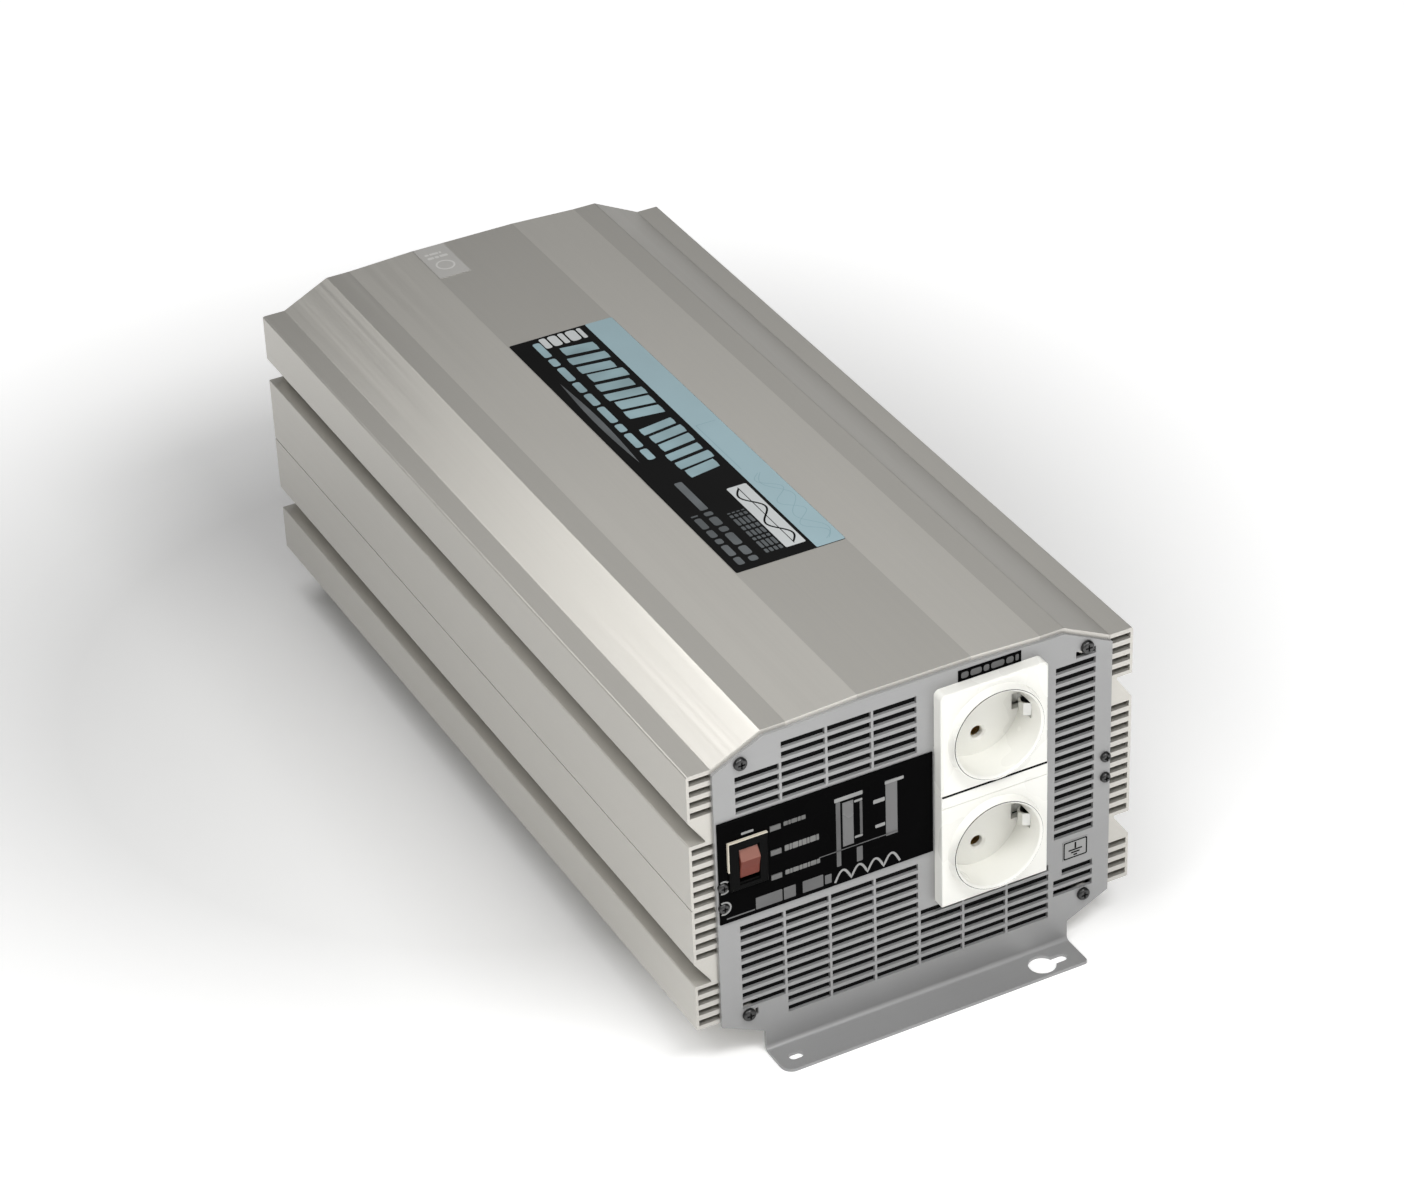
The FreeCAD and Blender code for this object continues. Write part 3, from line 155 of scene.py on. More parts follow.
def area_light(name, place, target, size, power):
    """White rectangular light that faces its target."""
    light = bpy.data.lights.new(name, "AREA")
    light.shape = "RECTANGLE"
    light.size, light.size_y = size
    light.energy = power
    lamp = bpy.data.objects.new(name, light)
    bpy.context.scene.collection.objects.link(lamp)
    lamp.location = place
    lamp.rotation_euler = (Vector(target) - Vector(place)).to_track_quat("-Z", "Y").to_euler()


def make_light():
    """Soft studio lights and a faint even world."""
    world = bpy.data.worlds.new("studio")
    world.use_nodes = True
    world.node_tree.nodes["Background"].inputs["Color"].default_value = (1.0, 1.0, 1.0, 1)
    world.node_tree.nodes["Background"].inputs["Strength"].default_value = WORLD_STRENGTH
    bpy.context.scene.world = world
    bpy.context.scene.view_settings.view_transform = "Standard"
    for light in LIGHTS:
        area_light(*light)


# ---------------------------------------------------------------- material tools
# painted shade of the extrusion: each long facet is lighter or darker as the light falls on it, by
# distance off the centre line, in millimetres
FACET_PAINTED_SHADES = ((0.0, 0.92), (26.0, 1.1), (58.0, 0.90), (69.4, 0.94))


class Tree:
    """Short way to build a node material around one Principled shader."""

    def __init__(self, name, colour, roughness, metallic=0.0):
        self.material = bpy.data.materials.new(name)
        self.material.use_nodes = True
        self.tree = self.material.node_tree
        self.shader = self.tree.nodes["Principled BSDF"]
        self.colour = colour
        self.put("Base Color", (*colour, 1.0))
        self.put("Roughness", roughness)
        self.put("Metallic", metallic)
        self.bump = None

    def put(self, socket, value):
        self.shader.inputs[socket].default_value = value

    def add(self, kind, **values):
        node = self.tree.nodes.new(kind)
        for key, value in values.items():
            setattr(node, key, value)
        return node

    def link(self, out, socket):
        self.tree.links.new(out, socket)

    def coordinates(self, scale=(1, 1, 1)):
        """Object coordinates, stretched by scale."""
        source = self.add("ShaderNodeTexCoord")
        mapping = self.add("ShaderNodeMapping")
        mapping.inputs["Scale"].default_value = scale
        self.link(source.outputs["Object"], mapping.inputs["Vector"])
        return mapping.outputs["Vector"]

    def noise(self, scale, stretch=(1, 1, 1), detail=3.0, roughness=0.55):
        node = self.add("ShaderNodeTexNoise")
        node.inputs["Scale"].default_value = scale
        node.inputs["Detail"].default_value = detail
        node.inputs["Roughness"].default_value = roughness
        self.link(self.coordinates(stretch), node.inputs["Vector"])
        return node.outputs["Fac"]

    def remap(self, value, low, high, start=0.3, end=0.7):
        node = self.add("ShaderNodeMapRange")
        node.inputs["From Min"].default_value = start
        node.inputs["From Max"].default_value = end
        node.inputs["To Min"].default_value = low
        node.inputs["To Max"].default_value = high
        self.link(value, node.inputs["Value"])
        return node.outputs["Result"]

    def blend(self, factor, first, second):
        """Colour between first and second; each is an output or a colour."""
        node = self.add("ShaderNodeMix", data_type="RGBA")
        self.link(factor, node.inputs["Factor"])
        for socket, value in ((node.inputs[6], first), (node.inputs[7], second)):
            if isinstance(value, tuple):
                socket.default_value = (*value, 1.0)
            else:
                self.link(value, socket)
        return node.outputs[2]

    def shade(self, factor, spread):
        """The base colour, a little darker and lighter with factor."""
        dark = tuple(c * (1 - spread) for c in self.colour)
        light = tuple(min(1.0, c * (1 + spread)) for c in self.colour)
        return self.blend(factor, dark, light)

    def set_colour(self, output):
        self.link(output, self.shader.inputs["Base Color"])

    def set_roughness(self, output):
        self.link(output, self.shader.inputs["Roughness"])

    def add_bump(self, height, distance, strength):
        """Adds a layer of bump; distance is the height of the layer in metres."""
        node = self.add("ShaderNodeBump")
        node.inputs["Strength"].default_value = strength
        node.inputs["Distance"].default_value = distance
        self.link(height, node.inputs["Height"])
        if self.bump:
            self.link(self.bump, node.inputs["Normal"])
        self.bump = node.outputs["Normal"]
        self.link(self.bump, self.shader.inputs["Normal"])


def facet_painted_shade(tree):
    """Painted shade of each long facet, lighter or darker as the light falls on it, which brings out the
    bands along the case.
    """
    place = tree.add("ShaderNodeSeparateXYZ")
    tree.link(tree.coordinates(), place.inputs[0])
    across = tree.add("ShaderNodeMath", operation="ABSOLUTE")
    tree.link(place.outputs["X"], across.inputs[0])
    ramp = tree.add("ShaderNodeValToRGB")
    ramp.color_ramp.interpolation = "CONSTANT"
    half_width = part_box("case_extrusion_upper")[1].x
    steps = ramp.color_ramp.elements
    for k, (reach, tone) in enumerate(FACET_PAINTED_SHADES):
        step = steps[k] if k < 2 else steps.new(1.0)
        step.position = reach * MM / half_width
        step.color = (tone, tone, tone, 1.0)
    tree.link(tree.remap(across.outputs[0], 0.0, 1.0, 0.0, half_width), ramp.inputs["Fac"])
    return ramp.outputs["Color"]


def extruded_metal(name, colour, roughness, metallic):
    """Anodised extrusion: die lines along Y, a fine satin grain and slow tone changes."""
    tree = Tree(name, colour, roughness, metallic)
    lines = tree.noise(700, (1, 0.004, 1), 4.0)
    cloud = tree.noise(9, (1, 0.6, 1), 2.0)
    tone = tree.add("ShaderNodeMath", operation="ADD")
    tree.link(lines, tone.inputs[0])
    tree.link(cloud, tone.inputs[1])
    shaded = tree.shade(tree.remap(tone.outputs[0], 0, 1, 0.6, 1.4), 0.035)
    # painted shade: each long facet is multiplied lighter or darker as the light falls on it
    painted_facet_shade = tree.add("ShaderNodeMix", data_type="RGBA", blend_type="MULTIPLY")
    painted_facet_shade.inputs["Factor"].default_value = 1.0
    tree.link(shaded, painted_facet_shade.inputs[6])
    tree.link(facet_painted_shade(tree), painted_facet_shade.inputs[7])
    tree.set_colour(painted_facet_shade.outputs[2])
    tree.set_roughness(tree.remap(lines, roughness - 0.05, roughness + 0.05))
    tree.add_bump(lines, 0.00001, 0.5)
    tree.add_bump(tree.noise(5200, detail=1.0), 0.000006, 0.4)
    return tree.material


def brushed_sheet(name, colour, roughness, metallic):
    """Sheet metal with short grain along X."""
    tree = Tree(name, colour, roughness, metallic)
    grain = tree.noise(1500, (0.03, 1, 1), 3.0)
    cloud = tree.noise(22, detail=2.0)
    tree.set_colour(tree.shade(tree.remap(cloud, 0, 1), 0.04))
    tree.set_roughness(tree.remap(grain, roughness - 0.06, roughness + 0.06))
    tree.add_bump(grain, 0.000008, 0.5)
    return tree.material


def moulded(name, colour, roughness, grain=2600, depth=0.00001, spread=0.04, coat=0.0, specular=0.5):
    """Moulded plastic or printed film with a fine even texture."""
    tree = Tree(name, colour, roughness)
    texture = tree.noise(grain, detail=2.0)
    cloud = tree.noise(35, detail=2.0)
    tree.set_colour(tree.shade(tree.remap(cloud, 0, 1), spread))
    tree.set_roughness(tree.remap(cloud, roughness - 0.04, roughness + 0.05))
    tree.add_bump(texture, depth, 0.6)
    tree.put("Specular IOR Level", specular)
    if coat:
        tree.put("Coat Weight", coat)
        tree.put("Coat Roughness", 0.08)
    return tree.material


def machined(name, colour, roughness):
    """Turned or rolled metal part."""
    tree = Tree(name, colour, roughness, 1.0)
    marks = tree.noise(1800)
    cloud = tree.noise(90, detail=2.0)
    tree.set_colour(tree.shade(tree.remap(cloud, 0, 1), 0.10))
    tree.set_roughness(tree.remap(marks, roughness - 0.06, roughness + 0.10))
    tree.add_bump(marks, 0.00001, 0.4)
    return tree.material


MATERIALS = {
    "satin_aluminium": extruded_metal("satin_aluminium", (0.56, 0.543, 0.503), 0.36, 0.55),
    "plate_aluminium": brushed_sheet("plate_aluminium", (0.32, 0.32, 0.32), 0.42, 0.2),
    "zinc_steel": machined("zinc_steel", (0.60, 0.60, 0.58), 0.35),
    "black_steel": machined("black_steel", (0.07, 0.07, 0.07), 0.35),
    "bright_wire": machined("bright_wire", (0.72, 0.72, 0.73), 0.22),
    "fascia_black": moulded("fascia_black", (0.0015, 0.0015, 0.0016), 0.3, 900, 0.000003, 0.1,
                            specular=0.01),
    "black_plastic": moulded("black_plastic", (0.012, 0.012, 0.0125), 0.5, specular=0.3),
    "fan_black": moulded("fan_black", (0.018, 0.018, 0.019), 0.45),
    "filter_foam": moulded("filter_foam", (0.006, 0.006, 0.006), 0.9, 1100, 0.0002, 0.3, specular=0.1),
    # dark print and seams, and the painted shadow round the outlet wells
    "dark_print_seam_and_shadow": moulded("dark_print_seam_and_shadow", (0.006, 0.006, 0.006), 0.7, specular=0.1),
    "rocker_red": moulded("rocker_red", (0.15, 0.032, 0.02), 0.4, specular=0.2),
    # lit copy of the rocker's red: a painted highlight on its upper facet
    "rocker_painted_highlight": moulded("rocker_painted_highlight", (0.25, 0.105, 0.08), 0.4, specular=0.35),
    "bezel_black": moulded("bezel_black", (0.003, 0.003, 0.003), 0.4, 900, 0.000003, 0.1,
                           specular=0.03),
    "light_lens": moulded("light_lens", (0.11, 0.11, 0.108), 0.35),
    "meter_lens": moulded("meter_lens", (0.13, 0.13, 0.13), 0.3),
    "led_grey": moulded("led_grey", (0.30, 0.30, 0.29), 0.5),
    "print_small": moulded("print_small", (0.17, 0.17, 0.165), 0.5, 900, spread=0.3, specular=0.2),
    "print_light": moulded("print_light", (0.30, 0.30, 0.295), 0.5, spread=0.12, specular=0.2),
    "print_grey": moulded("print_grey", (0.12, 0.12, 0.12), 0.5, spread=0.18, specular=0.2),
    # painted highlight of the bezel's top and left faces
    "painted_highlight_cream": moulded("painted_highlight_cream", (0.62, 0.57, 0.47), 0.35),
    "outlet_white": moulded("outlet_white", (0.85, 0.845, 0.80), 0.28, 1500, 0.000004, 0.015),
    "base_white": moulded("base_white", (0.70, 0.70, 0.66), 0.5),
    "brass": machined("brass", (0.78, 0.60, 0.30), 0.28),
    "copper": machined("copper", (0.80, 0.42, 0.28), 0.32),
    "label_film": moulded("label_film", (0.006, 0.006, 0.006), 0.35, 900, 0.000003, specular=0.05),
    "label_black": moulded("label_black", (0.006, 0.006, 0.006), 0.35, 900, 0.000003, specular=0.05),
    "label_blue": moulded("label_blue", (0.325, 0.45, 0.49), 0.4, 1200, 0.000003, 0.03, specular=0.3),
    "label_blue_dim": moulded("label_blue_dim", (0.26, 0.37, 0.40), 0.4, 700, 0.000003, 0.25,
                              specular=0.3),
    "label_line": moulded("label_line", (0.24, 0.36, 0.40), 0.4, specular=0.3),
    "print_label_grey": moulded("print_label_grey", (0.10, 0.11, 0.115), 0.45, spread=0.3, specular=0.3),
    "print_white": moulded("print_white", (0.55, 0.57, 0.57), 0.4, spread=0.06, specular=0.3),
    "seal_film": moulded("seal_film", (0.46, 0.45, 0.43), 0.3, 900, 0.000004),
    "seal_pale": moulded("seal_pale", (0.62, 0.61, 0.59), 0.35),
    "hub_silver": machined("hub_silver", (0.62, 0.62, 0.62), 0.4),
    "symbol_film": moulded("symbol_film", (0.30, 0.30, 0.295), 0.4),
    "red_plastic": moulded("red_plastic", (0.45, 0.02, 0.015), 0.35),
    "board_green": moulded("board_green", (0.015, 0.10, 0.04), 0.35),
    "ferrite": moulded("ferrite", (0.045, 0.045, 0.05), 0.6, 900, 0.00003),
    "tape_yellow": moulded("tape_yellow", (0.70, 0.52, 0.07), 0.4),
    "can_sleeve": moulded("can_sleeve", (0.02, 0.035, 0.10), 0.3),
    "epoxy_black": moulded("epoxy_black", (0.015, 0.015, 0.015), 0.55),
    "pad_grey": moulded("pad_grey", (0.35, 0.37, 0.38), 0.8),
    "fuse_amber": moulded("fuse_amber", (0.70, 0.25, 0.02), 0.25),
    "fibre_sheet": moulded("fibre_sheet", (0.38, 0.33, 0.26), 0.8),
    "wire_blue": moulded("wire_blue", (0.02, 0.07, 0.28), 0.4),
}
OWN_FINISH = {"rocker_housing": "bezel_black"}      # a node that is darker than its slot's finish


def dress_nodes():
    """Gives each CAD node the material of its slot, or its own finish."""
    slots = {part["node"]: part["material_slot"] for part in frame["record"]["subparts"]}
    slots.update(OWN_FINISH)
    for name, node in NODES.items():
        for slot in node.material_slots:
            slot.material = MATERIALS[slots[name]]


def make_floor():
    """Pale floor that glows softly away from the object."""
    mesh = bpy.data.meshes.new("floor")
    corners = [(FLOOR_HALF * a, FLOOR_HALF * b, 0) for a, b in ((-1, -1), (1, -1), (1, 1), (-1, 1))]
    mesh.from_pydata(corners, [], [(0, 1, 2, 3)])
    floor = bpy.data.objects.new("floor", mesh)
    bpy.context.scene.collection.objects.link(floor)
    tree = Tree("floor_white", (0.88, 0.88, 0.875), 0.85)
    tree.set_colour(tree.shade(tree.noise(3.0), 0.01))
    tree.put("Emission Color", (1.0, 1.0, 1.0, 1.0))
    place = tree.add("ShaderNodeNewGeometry")
    distance = tree.add("ShaderNodeVectorMath", operation="DISTANCE")
    tree.link(place.outputs["Position"], distance.inputs[0])
    distance.inputs[1].default_value = GLOW_CENTRE
    glow = tree.remap(distance.outputs["Value"], 0.0, FLOOR_GLOW, GLOW_START, GLOW_END)
    tree.link(glow, tree.shader.inputs["Emission Strength"])
    mesh.materials.append(tree.material)


# ---------------------------------------------------------------- mesh tools
class Place:
    """Flat place on the object: lengths in millimetres to the right, up and out from its origin."""

    def __init__(self, origin, right, up):
        self.origin = Vector(origin)
        self.right = Vector(right)
        self.up = Vector(up)
        self.out = self.right.cross(self.up)

    def at(self, a, b, c=0.0):
        return self.origin + (self.right * a + self.up * b + self.out * c) * MM


def new_piece(name, bm, material, body="case", smooth=False):
    """Ends a mesh, gives it its material and slot, and lets it ride on its body."""
    bmesh.ops.recalc_face_normals(bm, faces=bm.faces)
    mesh = bpy.data.meshes.new(name)
    bm.to_mesh(mesh)
    bm.free()
    if smooth:
        mesh.shade_smooth()
        mesh.set_sharp_from_angle(angle=math.radians(35))
    mesh.materials.append(MATERIALS[material])
    piece = bpy.data.objects.new(name, mesh)
    bpy.context.scene.collection.objects.link(piece)
    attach(piece, body)
    return piece


def bridge(bm, rows, closed=False):
    """Faces between rings of points, or a point and a ring; closed joins the last to the first."""
    pairs = list(zip(rows, rows[1:]))
    if closed:
        pairs.append((rows[-1], rows[0]))
    for first, second in pairs:
        count = max(len(first), len(second))
        for k in range(count):
            n = k + 1
            ring = [first[k % len(first)], first[n % len(first)],
                    second[n % len(second)], second[k % len(second)]]
            bm.faces.new(list(dict.fromkeys(ring)))


def add_plate(bm, outline, place, low, high):
    """Plate of the given outline between two heights over its place."""
    rows = [[bm.verts.new(place.at(a, b, c)) for a, b in outline] for c in (low, high)]
    bridge(bm, rows)
    bm.faces.new(rows[0][::-1])
    bm.faces.new(rows[1])


def add_frame(bm, outer, inner, place, low, high):
    """Plate between two outlines with the same number of corners."""
    levels = ((outer, low), (outer, high), (inner, high), (inner, low))
    rows = [[bm.verts.new(place.at(a, b, c)) for a, b in outline] for outline, c in levels]
    bridge(bm, rows, closed=True)


def add_turned(bm, profile, place, steps=48):
    """Solid turned about the place's axis, from (radius, height) corners that start and end on it."""
    rows = []
    for radius, height in profile:
        if radius == 0:
            rows.append([bm.verts.new(place.at(0, 0, height))])
        else:
            rows.append([bm.verts.new(place.at(a, b, height)) for a, b in disc(0, 0, radius, steps)])
    bridge(bm, rows)


def disc(a, b, radius, steps=48):
    """Outline of a disc about (a, b)."""
    angles = [2 * math.pi * k / steps for k in range(steps)]
    return [(a + radius * math.cos(angle), b + radius * math.sin(angle)) for angle in angles]


def rounded(a0, a1, b0, b1, radius, steps=4):
    """Rectangle with round corners."""
    centres = ((a1 - radius, b0 + radius), (a1 - radius, b1 - radius),
               (a0 + radius, b1 - radius), (a0 + radius, b0 + radius))
    outline = []
    for quarter, (a, b) in enumerate(centres):
        for step in range(steps + 1):
            angle = math.pi / 2 * (quarter - 1 + step / steps)
            outline.append((a + radius * math.cos(angle), b + radius * math.sin(angle)))
    return outline


def ribbon(points, width):
    """Line of constant width through the points."""
    left, right = [], []
    for k, (a, b) in enumerate(points):
        before = Vector(points[max(k - 1, 0)])
        after = Vector(points[min(k + 1, len(points) - 1)])
        along = (after - before).normalized() * (width / 2)
        left.append((a - along.y, b + along.x))
        right.append((a + along.y, b - along.x))
    return right + left[::-1]


def wave(a0, a1, middle, height, turns, steps=48):
    """Points of a sine wave from a0 to a1."""
    points = []
    for k in range(steps + 1):
        share = k / steps
        points.append((a0 + (a1 - a0) * share, middle + height * math.sin(2 * math.pi * turns * share)))
    return points


def dashes(a0, a1, b0, b1, pattern, gap=0.45, ease=0.3):
    """Row of short bars that stands for a line of small print; pattern repeats the bar lengths."""
    bars = []
    a = a0
    k = 0
    while a < a1 - 0.3:
        end = min(a + pattern[k % len(pattern)], a1)
        bars.append(rounded(a, end, b0, b1, min(end - a, b1 - b0) * ease, 2))
        a = end + gap
        k += 1
    return bars


def swapped(outlines):
    """The same outlines with right and up exchanged, for rows that run the other way."""
    return [[(b, a) for a, b in outline[::-1]] for outline in outlines]


def print_marks(name, outlines, place, material, low=0.0, thick=PRINT_T):
    """Thin raised print made of separate plates."""
    bm = bmesh.new()
    for outline in outlines:
        add_plate(bm, outline, place, low, low + thick)
    return new_piece(name, bm, material)


# ---------------------------------------------------------------- front end
def place_on(node, face):
    """Place at the left corner of a node's box, on its front or its roof."""
    low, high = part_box(node)
    if face == "front":
        return Place((low.x, low.y, low.z), (1, 0, 0), (0, 0, 1))
    return Place((low.x, low.y, high.z), (1, 0, 0), (0, 1, 0))


def make_panel_print():
    """Bars, brackets and a waveform round the lights and meters of the fascia."""
    panel = place_on("control_fascia", "front")
    small = [bar for line in LIGHT_NAMES for bar in dashes(*line, NAME_BARS, 0.25, 0.12)]
    print_marks("panel_print_small", small, panel, "print_small")
    marks = [rounded(*SWITCH_BAR, 0.3)]
    marks += [rounded(*box, 0.35) for box in METER_BRACKETS]
    swings = wave(HUMP_LEFT, HUMP_RIGHT, HUMP_BASE, HUMP_H, 2.0)
    humps = [(a, HUMP_BASE + abs(b - HUMP_BASE)) for a, b in swings]
    marks.append(ribbon(humps, 1.0))
    print_marks("panel_print_light", marks, panel, "print_light")
    blocks = [rounded(*box, 0.3) for box in GREY_BLOCKS]
    blocks.append(rounded(*LONG_RULE, 0.1))
    blocks.append(rounded(*SHORT_RULE, 0.2))
    print_marks("panel_print_grey", blocks, panel, "print_grey")


def make_bezel_painted_highlight():
    """Painted highlight: a thin cream strip over and left of the bezel of the power switch, where its top
    and left faces catch the light.
    """
    low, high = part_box("rocker_housing")
    fascia_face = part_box("control_fascia")[0].y
    bezel = Place((low.x, fascia_face, low.z), (1, 0, 0), (0, 0, 1))
    wide = (high.x - low.x) / MM
    tall = (high.z - low.z) / MM
    proud = (fascia_face - low.y) / MM
    bm = bmesh.new()
    outline = [(-HIGHLIGHT_T, tall * HIGHLIGHT_DROP), (0.0, tall * HIGHLIGHT_DROP), (0.0, tall),
               (wide, tall), (wide, tall + HIGHLIGHT_T), (-HIGHLIGHT_T, tall + HIGHLIGHT_T)]
    add_plate(bm, outline, bezel, 0.0, proud - HIGHLIGHT_STEP)
    new_piece("bezel_painted_highlight", bm, "painted_highlight_cream", smooth=True)


def eased(outline, reach, steps=4):
    """The outline with each corner turned into a short curve."""
    smooth = []
    for k, corner in enumerate(outline):
        corner = Vector(corner)
        before = Vector(outline[k - 1])
        after = Vector(outline[(k + 1) % len(outline)])
        start = corner + (before - corner).normalized() * reach
        end = corner + (after - corner).normalized() * reach
        for step in range(steps + 1):
            share = step / steps
            point = start.lerp(corner, share).lerp(corner.lerp(end, share), share)
            smooth.append((point.x, point.y))
    return smooth


def make_rocker():
    """Rocker with a slanted facet at each end and soft edges, its lower half pressed in."""
    pivot = Place(ROCKER_JOINT["pos_m"], (0, 1, 0), (0, 0, 1))
    tilt = Matrix.Rotation(math.radians(ROCKER_TILT), 2)
    outline = [tuple(tilt @ Vector(point)) for point in eased(ROCKER_SECTION, ROCKER_CORNER)]
    inner = [(a * ROCKER_EASE, b * ROCKER_EASE) for a, b in outline]
    wide = ROCKER_W / 2
    shoulder = wide - ROCKER_SIDE
    levels = ((inner, -wide), (outline, -shoulder), (outline, shoulder), (inner, wide))
    bm = bmesh.new()
    rows = [[bm.verts.new(pivot.at(a, b, c)) for a, b in points] for points, c in levels]
    bridge(bm, rows)
    bm.faces.new(rows[0][::-1])
    bm.faces.new(rows[-1])
    for side in (-1, 1):
        low, high = sorted((side * (wide - 0.2), side * ROCKER_PIN_REACH))
        pin = [(0, low), (ROCKER_PIN_R, low), (ROCKER_PIN_R, high), (0, high)]
        add_turned(bm, pin, pivot, steps=24)
    # faces above the split take the painted highlight of the upper facet
    split = pivot.at(0.0, ROCKER_SPLIT, 0.0).z
    for face in bm.faces:
        face.material_index = int(face.calc_center_median().z > split)
    paddle = new_piece("rocker_paddle", bm, "rocker_red", "power_rocker", smooth=True)
    paddle.data.materials.append(MATERIALS["rocker_painted_highlight"])
    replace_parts(paddle, "power_rocker")


def arc_band(a, b, inner, outer, start, end, steps=12):
    """Outline between two arcs about (a, b); start and end are in degrees."""
    turns = [math.radians(start + (end - start) * k / steps) for k in range(steps + 1)]
    far = [(a + outer * math.cos(t), b + outer * math.sin(t)) for t in turns]
    near = [(a + inner * math.cos(t), b + inner * math.sin(t)) for t in turns]
    return far + near[::-1]


def make_notch_rims():
    """Bright edges of the panel's notches round the two side screws; the upper one passes the bezel."""
    panel = place_on("control_fascia", "front")
    low, high = SIDE_SCREW_BS
    arcs = [(low, -NOTCH_END, NOTCH_END), (high, -NOTCH_END, -NOTCH_PASS), (high, NOTCH_PASS, NOTCH_END)]
    bands = [arc_band(SIDE_SCREW_A, b, *NOTCH_RIM, start, end) for b, start, end in arcs]
    print_marks("notch_rims", bands, panel, "print_light")


def make_outlet_details():
    """Painted shadow round each well, a dark ring widest at its upper left where the rim shades the well,
    and the dark seam between the two outlets.
    """
    for name in ("upper", "lower"):
        low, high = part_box("outlet_" + name + "_housing")
        top = high.z if name == "upper" else high.z - STRIP_H * MM
        centre_z = top - OUTLET_H / 2 * MM
        ring = Place(((low.x + high.x) / 2, low.y, centre_z), (1, 0, 0), (0, 0, 1))
        bm = bmesh.new()
        # painted shadow: an off-centre dark ring, widest at the upper left
        outer = disc(-RIM_SHADOW_SHIFT, RIM_SHADOW_SHIFT, RIM_SHADOW_R + RIM_SHADOW_W, 72)
        add_frame(bm, outer, disc(0, 0, RIM_SHADOW_R, 72), ring, 0.0, GAP_T)
        new_piece("outlet_" + name + "_rim_painted_shadow", bm, "dark_print_seam_and_shadow")
    low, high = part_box("outlet_lower_housing")
    seam = Place((low.x, low.y + COLLAR_RISE * MM, high.z), (1, 0, 0), (0, 0, 1))
    width = (high.x - low.x) / MM
    line = [rounded(0.4, width - 0.4, -0.12, 0.36, 0.1)]
    print_marks("outlet_seam", line, seam, "dark_print_seam_and_shadow", -2.0, 2.04)


def make_small_labels():
    """Marks on the label over the outlets and on the earth plate."""
    label = place_on("outlet_label", "front")
    blocks = dashes(1.3, 28.0, 1.2, 4.1, (3.4, 5.2, 2.6, 6.1), 0.9)
    print_marks("outlet_label_print", blocks, label, "print_grey")
    low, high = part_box("earth_symbol_plate")
    plate = place_on("earth_symbol_plate", "front")
    wide = (high.x - low.x) / MM
    tall = (high.z - low.z) / MM
    bm = bmesh.new()
    border = rounded(0.3, wide - 0.3, 0.3, tall - 0.3, 0.8)
    add_frame(bm, border, rounded(0.9, wide - 0.9, 0.9, tall - 0.9, 0.5), plate, 0.0, PRINT_T)
    middle = wide / 2
    add_plate(bm, rounded(middle - 0.4, middle + 0.4, 4.9, 8.0, 0.2), plate, 0.0, PRINT_T)
    for half, height in EARTH_BARS:
        bar = rounded(middle - half, middle + half, height - 0.35, height + 0.35, 0.2)
        add_plate(bm, bar, plate, 0.0, PRINT_T)
    new_piece("earth_symbol", bm, "dark_print_seam_and_shadow")


def make_dust_filter():
    """Thin black filter sheets behind the banks of slots, clear of the screw bosses and the outlets."""
    behind = Place((0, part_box("front_plate")[1].y, 0), (1, 0, 0), (0, 0, 1))
    sheets = [rounded(*sheet, 1.5) for sheet in FILTER_SHEETS]
    print_marks("dust_filter", sheets, behind, "filter_foam", -FILTER_T - 0.1, FILTER_T)


# ---------------------------------------------------------------- roof label
def leaning_bars(b0, b1, pitch, lean, phase):
    """Leaning bars across the label whose reach swells and sinks like a wave."""
    bars = []
    for k in range(int((b1 - b0) / pitch)):
        low = b0 + k * pitch
        swell = math.sin(phase + 1.9 * k)
        left = BAR_LEFT + 0.8 * swell
        right = BAR_RIGHT - 0.9 * math.sin(phase + 2.7 * k)
        thick = pitch * (0.74 + 0.07 * swell)
        middle = low + thick * 0.5
        high = low + thick
        bars.append([(left, low + lean), (right, low), (right + 0.3, middle),
                     (right, high), (left, high + lean), (left - 0.3, middle + lean)])
    return bars


def slim_leaf():
    """Long thin leaf that stands for a curved stroke at the label's edge."""
    points = []
    for side, order in ((1, range(LEAF_STEPS + 1)), (-1, range(LEAF_STEPS - 1, 0, -1))):
        for k in order:
            bulge = LEAF_HALF * math.sin(math.pi * k / LEAF_STEPS)
            points.append((LEAF_MIDDLE + side * bulge, LEAF_START + LEAF_STEP * k))
    return points


